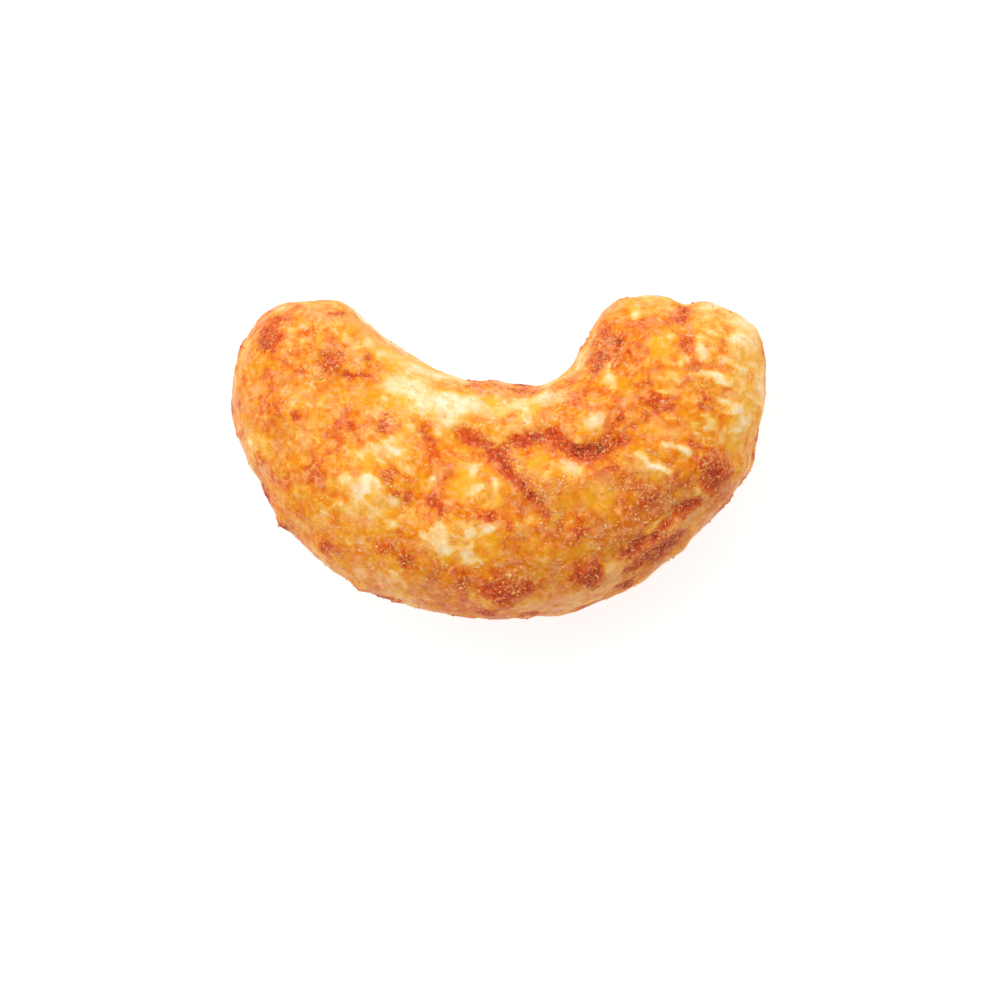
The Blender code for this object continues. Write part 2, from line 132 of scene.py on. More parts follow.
CREAM_AND_EDGE_LIGHT_MARKS = (
    dabs(
        (-10.3, 3.2, 0.42, 0.5), (-9.9, 2.65, 0.38, 0.65), (-8.6, 2.7, 0.35, 0.5), (-6.3, 5.6, 0.38, 0.8),
        (-7.4, 5.9, 0.2, 0.35), (-5.0, 3.5, 0.75, 0.8), (-4.2, 3.3, 0.7, 0.8), (-11.4, 0.7, 0.45, 0.6),
        (-12.1, 0.8, 0.3, 0.6), (-5.2, 0.9, 0.35, 0.8), (-6.0, 0.45, 0.4, 0.6), (-6.3, -1.2, 0.42, 1.0),
        (-7.5, -1.2, 0.45, 0.7), (-6.7, -1.7, 0.4, 0.7), (-5.0, -2.15, 0.35, 0.7), (-6.1, -2.7, 0.4, 0.5),
        (-4.9, 0.3, 0.4, 0.6), (-4.9, -3.3, 0.3, 0.6), (-2.5, 2.55, 0.55, 1.0), (-1.9, 2.4, 0.5, 1.0),
        (-1.2, 2.75, 0.5, 0.8), (1.2, 2.7, 0.5, 0.7), (2.3, 3.0, 0.35, 0.8), (-3.6, 2.6, 0.6, 0.7),
        (-0.2, -1.2, 0.4, 0.8), (-1.0, -1.45, 0.4, 0.8), (-1.2, -0.6, 0.35, 0.7), (-3.2, -1.1, 0.16, 1.0),
        (0.8, -0.5, 0.25, 0.7), (3.6, -0.5, 0.6, 0.9), (2.3, -0.9, 0.35, 0.6), (-2.9, -3.6, 0.55, 1.0),
        (-3.6, -3.8, 0.35, 0.8), (-2.7, -4.4, 0.5, 0.9), (-1.6, -4.6, 0.45, 0.9), (-1.3, -3.6, 0.38, 0.9),
        (-0.6, -3.35, 0.35, 0.8), (1.5, -3.1, 0.35, 0.7), (6.7, 6.9, 0.3, 0.8), (8.3, 5.8, 0.4, 0.6),
        (8.7, 4.4, 0.25, 0.8), (4.6, 1.8, 0.45, 1.0), (4.2, 1.5, 0.3, 0.6), (5.0, 2.0, 0.25, 0.6),
        (10.2, 1.4, 0.32, 0.7), (11.4, 5.7, 0.45, 0.7), (11.8, 6.4, 0.6, 0.7), (10.0, 7.2, 0.5, 0.6),
        (8.5, 3.5, 0.35, 0.4), (9.6, -1.5, 0.25, 0.6), (-10.0, 6.05, 0.3, 0.5), (-2.9, 1.1, 0.25, 0.6),
        (7.9, 0.65, 0.22, 0.8), (2.7, 1.9, 0.3, 0.5), (0.5, 1.5, 0.35, 0.5), (3.4, 1.4, 0.3, 0.6),
        (2.5, -2.3, 0.3, 0.3), (-2.6, 1.75, 0.55, 0.8), (-3.6, 1.9, 0.45, 0.5), (-6.6, 2.8, 0.45, 0.4),
        (-6.8, 5.4, 0.35, 0.5), (-9.5, 6.3, 0.35, 0.45), (-10.4, 7.1, 0.4, 0.3), (-5.7, -1.4, 0.4, 0.4),
        (-5.6, -2.6, 0.5, 0.4), (-8.2, -2.5, 0.6, 0.4), (-6.5, -4.2, 0.5, 0.5), (-6.5, -5.4, 0.6, 0.35),
        (-5.0, -5.6, 0.5, 0.45), (-0.8, -0.4, 0.4, 0.45), (-0.1, 0.85, 0.35, 0.5), (1.4, 2.0, 0.4, 0.45),
        (-2.0, -3.2, 0.4, 0.5), (-1.0, -4.8, 0.7, 0.4), (0.5, -2.8, 0.4, 0.35), (2.8, -4.6, 0.6, 0.25),
        (3.4, -3.1, 0.4, 0.3), (2.9, -0.3, 0.6, 0.2), (6.1, 1.3, 0.4, 0.35), (7.0, 1.4, 0.4, 0.35),
        (5.4, -5.4, 0.4, 0.3), (10.0, 6.0, 0.6, 0.4), (9.7, 5.0, 0.35, 0.4), (10.6, 4.4, 0.6, 0.4),
        (10.0, 3.5, 0.4, 0.25), (10.0, 1.7, 0.5, 0.25), (-9.2, 2.55, 0.35, 0.3), (-10.8, 2.9, 0.4, 0.25),
        (-12.0, -0.4, 0.3, 0.7), (-9.8, -2.2, 0.5, 0.2), (7.3, 6.7, 0.4, 0.2), (3.0, -6.5, 0.7, 0.2),
        (-9.9, 3.8, 0.3, 0.4), (-9.2, 6.1, 0.5, 0.25), (-4.8, 3.2, 0.45, 0.25), (-2.3, 2.9, 0.7, 0.35),
        (-2.3, 1.4, 0.4, 0.45), (-0.1, 2.8, 0.4, 0.35), (1.4, 1.6, 0.4, 0.3), (-5.7, 0.7, 0.4, 0.3),
        (-7.2, 0.6, 0.4, 0.2), (-5.8, -1.4, 0.4, 0.4), (-3.3, -1.4, 0.4, 0.5), (-7.2, -2.4, 0.8, 0.3),
        (-9.4, -1.0, 0.5, 0.25), (-1.3, -2.3, 0.4, 0.35), (-1.6, -3.0, 0.4, 0.35), (-4.8, -5.5, 0.5, 0.3),
        (-8.3, -4.4, 0.6, 0.25), (3.3, -0.5, 0.5, 0.3), (1.8, -2.1, 0.4, 0.2), (4.3, -2.3, 0.5, 0.2),
        (9.6, 5.1, 0.45, 0.3), (10.0, 6.6, 0.4, 0.3), (12.0, 5.3, 0.6, 0.3), (11.5, 3.8, 0.6, 0.25),
        (12.7, 3.0, 0.7, 0.5), (11.7, 1.7, 0.6, 0.3), (5.2, 3.7, 0.35, 0.3), (3.8, 4.5, 0.35, 0.5),
        (-4.7, 3.3, 0.5, 0.3), (-4.6, 2.2, 0.5, 0.3), (-2.5, 2.4, 0.6, 0.3), (8.7, 7.8, 0.4, 0.6),
        (1.6, -6.7, 0.6, 0.3), (5.5, -5.2, 0.4, 0.25), (8.4, -2.9, 0.35, 0.25), (-10.4, 7.2, 0.4, 0.3),
        (-9.2, 7.2, 0.6, 0.2), (-1.8, 1.3, 0.4, 0.3), (-4.8, -4.5, 0.4, 0.3), (-6.5, -5.7, 0.4, 0.25),
        (-9.0, -4.1, 0.5, 0.2), (-0.4, -6.8, 0.5, 0.3), (2.8, -6.6, 0.6, 0.25), (6.4, 1.4, 0.5, 0.3),
        (5.3, 3.6, 0.35, 0.25), (9.2, 5.9, 0.5, 0.3), (10.8, 7.4, 0.6, 0.35), (9.6, 1.6, 0.5, 0.3),
        (11.5, 3.8, 0.7, 0.2), (8.4, -2.7, 0.5, 0.2), (3.7, -3.1, 0.4, 0.25), (6.2, -4.9, 0.6, 0.2),
        # The dabs at (7.4, 7.9) and (10.6, 7.3) are painted light on the right horn's upper edge.
        (-1.7, 3.6, 0.4, 0.4), (-10.4, 7.0, 0.5, 0.3), (7.4, 7.9, 0.6, 0.4), (10.6, 7.3, 0.5, 0.3),
        (9.8, 6.6, 0.4, 0.2), (8.8, 6.0, 0.4, 0.25), (9.8, 4.6, 0.4, 0.35), (-9.1, 2.4, 0.5, 0.3),
        (-8.0, 4.6, 0.6, 0.25), (-10.0, -2.2, 0.5, 0.2), (-8.5, -2.4, 0.5, 0.2), (-5.4, -1.7, 0.4, 0.35),
        (-0.9, -1.9, 0.5, 0.35), (-0.8, -3.0, 0.5, 0.35), (5.2, -5.4, 0.5, 0.3), (0.7, -7.1, 0.5, 0.3),
        (3.9, -7.4, 0.5, 0.3), (9.5, 1.0, 0.4, 0.35), (11.3, 1.6, 0.7, 0.3), (5.2, 3.5, 0.4, 0.3),
        (2.0, 1.5, 0.5, 0.2), (-2.2, 1.2, 0.5, 0.25), (-0.7, 0.8, 0.4, 0.3), (-4.3, 1.2, 0.4, 0.3),
        (-7.1, 0.6, 0.4, 0.25), (-7.0, -3.3, 0.5, 0.2), (7.6, 2.6, 0.4, 0.2),
        # The dabs at (-8.8, 7.1), (-12.4, 4.9), (7.5, 7.9), (10.6, 7.3) and (8.6, 7.4) are painted light on
        # the horns' upper edges.
        (-1.7, 3.6, 0.4, 0.5), (-8.8, 7.1, 0.5, 0.3), (-12.4, 4.9, 0.6, 0.4), (7.5, 7.9, 0.7, 0.3),
        (10.6, 7.3, 0.6, 0.3), (8.6, 7.4, 0.4, 0.25), (-9.1, -4.3, 0.5, 0.3), (-10.0, 5.2, 0.3, 0.4),
        (-4.3, 0.7, 0.3, 0.4), (-3.4, 0.4, 0.4, 0.4), (-7.1, -0.3, 0.4, 0.4), (-4.4, -0.7, 0.5, 0.2),
        (3.0, -4.8, 0.4, 0.4), (-0.3, 1.8, 0.4, 0.4), (2.5, 3.5, 0.4, 0.5), (0.7, -7.2, 0.5, 0.3),
        (1.5, -6.8, 0.6, 0.25), (4.0, -7.4, 0.5, 0.3), (8.4, -3.0, 0.5, 0.3), (6.3, -5.1, 0.5, 0.3),
        (11.3, 5.3, 0.5, 0.3), (10.2, 3.5, 0.3, 0.3), (-8.0, -3.3, 0.8, 0.2), (-6.9, -2.5, 0.6, 0.2),
        (-6.0, -4.3, 0.5, 0.2), (-7.0, -3.5, 0.8, 0.2), (-8.0, -1.7, 0.5, 0.2), (1.9, -2.2, 0.3, 0.3),
        (3.4, -3.1, 0.4, 0.2), (-0.6, -5.2, 0.4, 0.25), (7.7, 2.8, 0.4, 0.25), (12.0, 3.2, 0.5, 0.2),
        (7.6, 0.6, 0.3, 0.3), (5.8, 1.3, 0.3, 0.3), (-1.5, 1.4, 0.3, 0.3), (-10.4, -1.3, 0.4, 0.25),
    )
    # Painted light: a pale stroke along the right horn's upper edge.
    + stroke(0.45, 0.4, (9.8, 7.7), (11.0, 7.3), (12.0, 6.6))
    # Painted light: a pale stroke along the left horn's inner edge.
    + stroke(0.40, 1.0, (-7.2, 7.2), (-6.2, 6.4), (-5.0, 5.3), (-4.0, 4.7), (-3.3, 4.3))
    + stroke(0.35, 0.35, (-6.4, 4.3), (-5.4, 4.0), (-4.4, 4.0))
    + stroke(0.35, 0.45, (-5.6, 0.5), (-5.1, -0.2), (-4.3, -0.5))
    # Painted light: a pale stroke along the right horn's outer edge.
    + stroke(0.75, 0.5, (11.7, 6.7), (12.2, 5.4), (12.5, 4.0), (12.6, 3.0), (12.2, 2.2), (11.8, 1.6))
    + stroke(0.30, 0.6, (3.2, 4.2), (3.8, 4.9))
    + stroke(0.22, 0.55, (5.3, 4.4), (5.4, 3.8), (5.5, 3.3))
    + stroke(0.22, 0.5, (9.7, 5.4), (9.7, 4.8))
    + stroke(0.22, 0.5, (9.9, 4.0), (10.5, 3.85), (11.1, 3.6))
    + stroke(0.2, 0.45, (10.7, 2.6), (11.5, 2.3))
    + stroke(0.2, 0.45, (8.1, 1.9), (9.1, 1.8))
    + stroke(0.22, 0.75, (8.2, 0.65), (8.7, 0.5), (9.2, 0.2))
    + stroke(0.22, 0.8, (6.7, 0.15), (7.0, -0.1), (7.2, -0.45), (7.8, -0.55), (8.3, -0.75))
    + stroke(0.20, 0.7, (8.2, -2.7), (7.6, -3.1), (7.1, -3.6))
    # Painted light: pale strokes along the inner edges of the horns and the saddle, which would otherwise
    # shade darker.
    + stroke(0.55, 0.7, (-5.4, 5.0), (-4.2, 4.4), (-3.0, 3.9), (-1.9, 3.8))
    + stroke(0.55, 0.5, (-3.8, 3.2), (-2.2, 2.7), (-0.4, 2.4), (1.5, 2.6), (3.0, 2.9))
    + stroke(0.30, 0.6, (2.3, 3.5), (3.3, 4.0), (4.0, 5.0), (4.7, 6.0))
    # Painted light: pale strokes along the left horn's upper and inner edges and the right horn's outer edge.
    + stroke(0.50, 0.4, (-12.6, 6.2), (-11.6, 7.2), (-10.2, 7.9), (-8.4, 8.0))
    + stroke(0.50, 0.6, (-7.0, 7.3), (-6.0, 6.5), (-5.0, 5.6), (-4.0, 5.0), (-3.2, 4.6))
    + stroke(0.55, 0.4, (12.6, 6.2), (12.9, 4.6), (12.8, 2.8), (12.4, 1.2))
)

# The gold stroke is painted light along the left horn's inner edge.
GOLD_AND_EDGE_LIGHT_MARKS = stroke(0.6, 0.8, (-6.9, 6.4), (-5.8, 5.5), (-4.6, 4.8), (-3.4, 4.2)) + dabs(
    (-8.6, 7.35, 0.35, 0.6), (-9.4, 3.2, 0.4, 0.7), (-5.3, 4.7, 0.5, 0.8), (-5.2, 2.5, 0.45, 1.0),
    (-4.6, 2.65, 0.45, 1.0), (-6.1, 5.2, 0.3, 0.7), (-7.4, 0.1, 0.4, 0.7), (-10.2, 0.5, 0.5, 0.4),
    (-6.1, 3.1, 0.6, 0.6), (-6.2, -0.1, 0.35, 0.9), (-6.4, -0.5, 0.35, 0.8), (-5.2, -2.5, 0.38, 0.9),
    (-6.1, -2.05, 0.35, 0.9), (-4.6, 1.1, 0.4, 0.6), (-0.3, 2.6, 0.45, 0.8), (1.8, 2.45, 0.45, 0.8),
    (-1.7, -1.4, 0.5, 1.0), (-1.6, -0.7, 0.35, 0.9), (-0.5, -0.7, 0.3, 0.7), (0.35, -1.3, 0.3, 0.7),
    (-0.2, -2.0, 0.5, 0.8), (-2.2, -1.8, 0.4, 0.7), (2.0, 0.1, 0.6, 0.8), (1.7, -0.5, 0.5, 0.8),
    (-0.5, -3.95, 0.5, 0.9), (-3.7, -4.4, 0.4, 0.7), (-2.6, -4.95, 0.4, 0.7), (-0.1, -4.5, 0.4, 0.6),
    (1.4, -3.7, 0.35, 0.6), (7.6, 5.6, 0.4, 0.9), (8.1, 6.1, 0.35, 0.8), (8.2, 5.2, 0.4, 0.7),
    (11.1, 3.75, 0.25, 0.8), (12.0, 3.4, 0.3, 0.7), (11.3, 2.75, 0.25, 0.8), (8.7, 4.0, 0.35, 0.7),
    (6.9, 0.25, 0.35, 0.8), (4.7, -1.7, 0.8, 0.9), (5.1, -2.1, 0.5, 0.7), (6.9, -0.45, 0.4, 0.8),
    (7.6, -0.95, 0.4, 0.8), (11.3, 0.5, 0.6, 0.7), (7.7, 1.4, 0.6, 0.5), (9.3, 1.4, 0.45, 0.5),
    (6.2, 7.3, 0.6, 0.5), (11.4, 1.8, 0.7, 0.5), (3.3, -2.2, 0.5, 0.6), (6.3, 3.2, 0.45, 0.5),
    (7.6, 4.9, 0.5, 0.5), (8.0, 0.15, 0.4, 0.6), (-7.2, -2.6, 0.5, 0.5), (2.8, 2.0, 0.25, 0.4),
    (12.0, 2.2, 0.5, 0.7), (8.6, 1.2, 0.5, 0.8), (7.4, 1.8, 0.4, 0.5), (4.7, -4.3, 0.4, 0.4),
    (1.6, -5.0, 0.5, 0.4), (-2.1, -6.6, 0.5, 0.4), (-4.0, -4.3, 0.4, 0.4), (-0.3, -2.2, 0.3, 0.5),
    (-1.5, -1.8, 0.3, 0.5), (-8.8, -3.0, 0.5, 0.5), (-9.6, -3.1, 0.4, 0.4), (-8.0, 0.7, 0.4, 0.5),
    (-7.8, 2.4, 0.4, 0.6), (-5.9, 1.4, 0.6, 0.5), (-5.0, 0.5, 0.3, 0.5), (-5.1, 4.3, 0.6, 0.5),
    (-3.8, 3.2, 0.5, 0.4), (5.1, 4.6, 0.4, 0.4), (12.6, 4.4, 0.5, 0.5), (10.5, 4.2, 0.3, 0.5),
    (-11.6, 3.5, 0.5, 0.5), (-10.6, 3.9, 0.4, 0.5), (-11.3, -0.5, 0.4, 0.4), (8.1, 6.9, 0.4, 0.5),
    (6.3, 2.7, 0.4, 0.5), (9.7, 2.9, 0.3, 0.4), (-2.9, -0.5, 0.4, 0.4),
    (12.3, 4.6, 0.8, 0.5), (12.2, 3.0, 0.6, 0.5), (11.9, 5.8, 0.7, 0.4), (12.4, 1.6, 0.6, 0.4),
)

AMBER_MARKS = (
    dabs(
        (-11.6, 6.3, 0.5, 0.8), (-11.1, 3.9, 0.45, 0.8), (-9.2, 5.8, 0.4, 0.6), (-8.0, 5.8, 0.35, 0.7),
        (-8.5, 3.5, 0.4, 0.8), (-9.4, 4.4, 0.4, 0.7), (-11.5, 2.5, 0.45, 0.8), (-11.0, 1.7, 0.35, 0.8),
        (-7.3, 1.8, 0.5, 1.0), (-7.9, 1.1, 0.55, 0.9), (-7.9, 0.5, 0.4, 0.8), (-7.9, 2.5, 0.4, 0.6),
        (-11.6, 0.0, 0.5, 0.6), (-10.5, -0.6, 1.0, 0.5), (-9.4, -1.6, 1.0, 0.3), (-8.6, -1.1, 0.45, 0.7),
        (-9.6, -2.8, 0.45, 0.8), (-7.9, -2.9, 0.4, 0.6), (-8.0, -4.6, 0.8, 0.6), (-7.2, -4.4, 0.6, 0.4),
        (-5.5, -4.2, 0.5, 0.9), (-3.1, 0.2, 0.45, 0.9), (-2.8, -1.4, 0.3, 0.7), (-3.8, -1.8, 0.5, 0.6),
        (-0.8, -2.7, 0.4, 0.8), (-1.8, -2.6, 0.4, 0.6), (0.4, 2.0, 0.45, 0.5), (3.5, 2.7, 0.5, 0.8),
        (-2.9, -6.0, 0.8, 0.7), (-1.8, -6.2, 0.7, 0.7), (0.3, -5.4, 0.8, 0.6), (2.0, -3.6, 0.7, 0.7),
        (8.3, 6.7, 0.5, 0.9), (7.0, 6.4, 0.5, 0.8), (5.0, 6.2, 0.7, 0.8), (5.0, 5.3, 0.7, 0.7),
        (4.5, 4.2, 0.6, 0.8), (5.0, 3.3, 0.5, 0.6), (6.3, 2.5, 0.5, 0.6), (7.2, 2.2, 0.5, 0.7),
        (9.4, 4.4, 0.45, 0.7), (10.8, 5.6, 0.25, 0.9), (10.2, 2.3, 0.5, 0.6), (10.9, 4.5, 0.4, 0.3),
        (5.4, 1.2, 0.6, 0.7), (6.1, -0.8, 0.5, 0.7), (7.0, -1.9, 0.9, 0.8), (7.2, -2.9, 0.8, 0.8),
        (5.6, -3.3, 0.8, 0.6), (3.6, -3.0, 0.7, 0.6), (8.8, -1.0, 0.6, 0.7), (10.3, -0.3, 0.7, 0.7),
        (2.6, -5.6, 0.9, 0.4), (5.0, -4.4, 0.8, 0.5), (2.9, 0.3, 0.5, 0.5), (-4.5, -5.2, 0.5, 0.7),
        (-6.0, 1.7, 0.4, 0.6), (8.6, 3.1, 0.4, 0.4), (-11.5, 6.4, 0.6, 0.6), (-9.2, 5.9, 0.4, 0.7),
        (-7.6, 5.6, 0.4, 0.6), (-7.8, 4.5, 0.6, 0.5), (-11.0, 3.8, 0.6, 0.6), (-9.5, 4.1, 0.5, 0.3),
        (-12.7, 3.0, 0.6, 0.6), (-9.4, 1.6, 0.5, 0.8), (-9.0, 0.7, 0.5, 0.8), (-8.0, 0.2, 0.5, 0.4),
        (-7.6, -0.9, 0.4, 0.7), (-6.8, -1.5, 0.3, 0.5), (-5.1, 1.2, 0.4, 0.6), (-7.0, 1.2, 0.4, 0.5),
        (-2.7, -0.5, 0.6, 0.6), (-3.3, -3.1, 0.5, 0.9), (-0.8, -3.0, 0.5, 0.9), (-3.5, -5.0, 0.4, 0.6),
        (-2.5, -6.9, 0.8, 0.7), (0.4, -6.3, 0.9, 0.7), (1.6, -4.8, 0.4, 0.5), (0.5, 1.6, 0.3, 0.6),
        (1.3, 3.0, 0.4, 0.5), (2.2, 0.8, 0.6, 0.7), (1.5, 0.5, 0.5, 0.5), (1.8, -0.9, 0.6, 0.8),
        (3.5, 1.4, 0.4, 0.7), (4.9, 2.7, 0.5, 1.0), (6.6, 3.5, 0.45, 1.0), (6.6, 2.5, 0.3, 0.6),
        (5.0, 0.0, 0.6, 1.0), (8.5, 4.7, 0.5, 0.8), (8.8, 4.1, 0.5, 0.6), (5.0, 6.2, 0.5, 0.5),
        (9.7, 2.7, 0.4, 0.6), (11.1, 2.7, 0.35, 0.5), (8.3, 1.2, 0.5, 0.6), (9.5, 0.6, 0.6, 1.0),
        (9.8, -0.4, 0.5, 0.8), (11.0, -1.9, 0.7, 0.9), (12.0, 0.2, 0.4, 0.6), (6.2, -2.5, 0.6, 1.0),
        (6.8, -3.1, 0.5, 0.8), (8.1, -1.7, 0.8, 0.6), (7.0, 0.4, 0.4, 0.4), (4.6, -3.6, 0.8, 0.6),
        (8.3, -4.0, 0.6, 0.8), (7.6, -4.8, 0.6, 0.9), (2.6, -2.2, 0.4, 0.6), (0.5, 0.1, 0.5, 0.5),
        (-2.3, -4.1, 0.6, 0.4), (-3.4, -6.7, 0.5, 0.8), (-2.1, -7.0, 0.6, 0.5), (-0.8, -7.5, 0.5, 0.7),
        (1.7, -7.5, 0.6, 0.9), (1.2, -5.9, 0.4, 0.5), (4.4, -5.8, 0.7, 0.7), (6.2, -6.2, 0.5, 0.6),
        (8.0, -3.7, 0.5, 0.5), (6.4, -3.0, 0.8, 0.5), (3.6, -3.7, 0.5, 0.4), (10.8, -1.3, 0.7, 0.5),
        (10.8, -2.3, 0.5, 0.6), (5.0, 0.9, 0.6, 0.7), (5.1, 2.4, 0.5, 0.6), (6.5, 2.4, 0.5, 0.4),
        (2.0, -1.0, 0.5, 0.4), (1.8, 0.6, 0.5, 0.4), (8.3, 4.0, 0.5, 0.5), (9.3, 4.1, 0.4, 0.4),
        (5.9, 5.8, 0.6, 0.4), (4.6, 6.0, 0.5, 0.7), (-11.0, 3.8, 0.5, 0.4), (-12.8, 3.0, 0.5, 0.4),
        (5.2, 2.5, 0.8, 0.6), (4.9, 0.9, 0.5, 0.5), (4.8, -0.5, 0.5, 0.6), (7.0, 0.5, 0.45, 0.6),
        (8.2, 1.2, 0.45, 0.4), (1.2, 2.9, 0.4, 0.6), (5.3, 4.8, 0.4, 0.5), (-2.3, -6.7, 0.7, 0.5),
        (6.5, -3.1, 1.0, 0.5), (6.2, -4.0, 0.6, 0.4), (10.4, -2.2, 0.7, 0.6), (8.2, -4.4, 0.7, 0.5),
        (-10.0, 2.6, 0.5, 0.4), (-7.0, 3.7, 0.4, 0.5), (-8.6, -0.4, 0.5, 0.4), (-6.5, -0.7, 0.4, 0.4),
        (-9.2, 5.7, 0.5, 0.5), (-10.3, 3.3, 0.5, 0.4), (-7.4, -1.0, 0.4, 0.4), (-6.7, -1.5, 0.4, 0.4),
        (-5.0, 0.5, 0.3, 0.4), (-1.2, 2.5, 0.45, 0.5), (1.2, 2.6, 0.5, 0.6), (0.5, 1.3, 0.4, 0.4),
        (1.9, 0.2, 0.5, 0.5), (4.9, 1.2, 0.4, 0.5), (6.2, -2.4, 0.6, 1.0), (7.0, -3.1, 0.6, 1.0),
        (3.4, -3.9, 0.5, 0.4), (7.4, -4.7, 0.5, 0.5), (10.9, -2.4, 0.5, 0.6), (8.0, -0.5, 0.5, 0.5),
        (4.7, -0.6, 0.4, 0.5), (-2.7, -4.2, 0.5, 0.4), (-1.6, -4.8, 0.5, 0.4), (-3.6, -5.3, 0.4, 0.4),
        (1.3, -5.6, 0.5, 0.5), (3.2, -5.6, 0.5, 0.6), (1.8, -7.6, 0.5, 0.7), (4.5, 6.0, 0.4, 0.4),
        (6.2, -2.5, 0.5, 0.5), (6.9, -3.1, 0.5, 0.7), (5.0, -3.9, 0.7, 0.4), (3.2, -3.8, 0.6, 0.4),
        (0.5, -5.8, 0.8, 0.5), (-3.0, -3.9, 0.7, 0.4), (7.6, -4.7, 0.5, 0.6), (8.8, -4.5, 0.4, 0.6),
        (7.1, 0.3, 0.5, 0.5), (8.0, -1.7, 0.6, 0.4), (10.4, -2.4, 0.7, 0.4), (12.2, 0.2, 0.5, 0.6),
        (4.6, 6.2, 0.5, 0.6), (-12.4, 0.9, 0.6, 0.4), (2.3, -1.0, 0.5, 0.3), (1.9, 0.1, 0.4, 0.4),
        (5.0, 0.9, 0.4, 0.4), (4.7, -0.5, 0.5, 0.4), (1.2, 2.8, 0.5, 0.5), (5.2, 4.8, 0.4, 0.4),
        (4.7, 2.9, 0.4, 0.4), (-5.3, 3.8, 0.6, 0.3), (-1.4, 2.5, 0.4, 0.4), (-1.6, -4.0, 0.5, 0.4),
        (4.6, -6.2, 0.5, 0.4), (6.4, -6.1, 0.5, 0.4), (-3.4, -6.6, 0.6, 0.3), (8.5, 4.9, 0.6, 0.3),
        (6.4, 5.6, 0.6, 0.3), (5.8, 6.8, 0.4, 0.3), (-10.8, -3.0, 0.4, 0.8), (-2.7, 1.7, 0.3, 0.4),
        (-4.9, 3.8, 0.7, 0.3), (-3.7, 3.3, 0.5, 0.4), (8.6, 1.1, 0.45, 0.6), (2.0, 0.5, 0.5, 0.4),
        (9.3, 4.6, 0.4, 0.5), (-10.4, 1.9, 0.4, 0.5), (-7.8, 2.4, 0.4, 0.4), (4.8, -3.6, 0.4, 0.4),
        (6.7, -2.6, 0.5, 0.4), (0.4, 1.4, 0.4, 0.4), (7.5, 1.7, 0.4, 0.3), (5.4, 5.8, 0.5, 0.4),
        (-6.1, 1.3, 0.4, 0.3), (-5.0, 0.6, 0.3, 0.3), (-7.4, -1.0, 0.4, 0.3), (11.2, 5.9, 0.4, 0.3),
        (6.6, 0.4, 0.6, 0.3), (3.8, -0.5, 0.6, 0.25), (-10.7, 3.9, 0.5, 0.3), (-6.3, -0.7, 0.3, 0.3),
    )
    + stroke(0.40, 0.8, (-3.8, -7.1), (-2.0, -7.5), (0.0, -7.8), (2.0, -7.6), (3.4, -7.3))
    + stroke(0.30, 0.6, (-7.0, -6.2), (-6.0, -6.5), (-5.2, -6.8))
)

# Dusty, less roasted patches; the strokes along the rims are partly dusty skin and partly painted sheen.
PEACH_AND_RIM_SHEEN_MARKS = (
    dabs(
        (-8.2, 5.35, 0.35, 0.8), (-6.8, 4.75, 0.35, 0.8), (-8.3, 6.6, 0.6, 0.5), (-7.5, 4.6, 0.3, 0.6),
        (-6.6, -5.6, 0.45, 0.8), (-5.3, -6.0, 0.5, 0.8), (-2.0, -3.8, 0.35, 0.5), (8.9, -3.3, 0.35, 0.9),
        (9.5, -2.8, 0.35, 0.8), (5.6, -5.4, 0.55, 0.9), (6.0, -4.85, 0.3, 0.7), (8.0, 7.4, 0.6, 0.6),
        (-7.0, 6.8, 0.35, 0.6), (-4.4, -1.9, 0.3, 0.4), (2.3, -2.2, 0.4, 0.6), (9.7, 4.7, 0.3, 0.5),
        (-10.1, 5.9, 0.5, 0.6), (-8.3, 5.3, 0.4, 0.5), (-7.0, 5.2, 0.5, 0.7), (-12.3, 4.8, 0.6, 0.7),
        (-10.3, 7.0, 0.5, 0.6), (-9.0, 7.0, 0.7, 0.6), (-7.4, 7.2, 0.4, 0.6), (-6.8, 3.1, 0.6, 0.6),
        (-11.8, 1.4, 0.5, 0.4), (-10.7, 0.7, 0.5, 0.4), (0.7, 1.7, 0.5, 0.8), (0.2, 1.2, 0.5, 0.5),
        (0.0, 2.9, 0.4, 0.6), (2.6, 2.8, 0.6, 0.8), (2.4, 1.9, 0.5, 0.5), (-1.7, 3.5, 0.4, 0.7),
        (0.2, 3.4, 0.5, 0.6), (-1.6, 1.8, 0.4, 0.5), (-2.6, 1.0, 0.4, 0.5), (3.9, 4.4, 0.4, 0.5),
        (4.1, 1.5, 0.35, 0.5), (-2.0, -1.2, 0.5, 0.4), (2.8, -0.5, 0.4, 0.5), (-5.7, -3.0, 0.4, 0.4),
        (-2.4, -3.2, 0.3, 0.5), (-6.5, -5.8, 0.4, 0.6), (-5.2, -5.8, 0.4, 0.6), (3.6, -7.2, 0.6, 0.5),
        (5.4, -5.6, 0.5, 0.5), (8.6, -3.3, 0.4, 0.6), (7.6, 7.9, 0.5, 0.6), (10.2, 6.9, 0.5, 0.5),
        (8.5, 3.6, 0.4, 0.4), (-4.4, -3.3, 0.4, 0.4),
    )
    # Partly dusty skin and partly painted sheen: pale strokes along the left, lower and right rims.
    + stroke(0.55, 0.8, (-12.6, 5.2), (-12.9, 3.4), (-12.7, 1.8), (-12.0, -0.6), (-10.8, -2.6))
    + stroke(0.50, 0.7, (-10.4, -3.2), (-8.6, -5.0), (-6.6, -6.2), (-3.4, -7.3))
    + stroke(0.55, 0.8, (1.6, -7.2), (3.6, -6.9), (5.4, -6.1))
    + stroke(0.45, 0.8, (8.4, -4.9), (9.6, -3.9), (11.0, -2.4), (12.0, -0.9))
    + stroke(0.30, 0.8, (6.8, -4.7), (7.6, -4.0), (8.8, -3.3), (10.2, -2.1), (11.4, -1.2))
    + stroke(0.35, 0.8, (3.4, 4.4), (4.0, 5.4), (4.9, 6.8), (5.6, 7.6))
    # Partly dusty skin and partly painted light: a pale stroke along the saddle's inner edge.
    + stroke(0.35, 0.6, (-2.4, 3.6), (-0.8, 3.5), (0.8, 3.3), (2.4, 3.5))
)

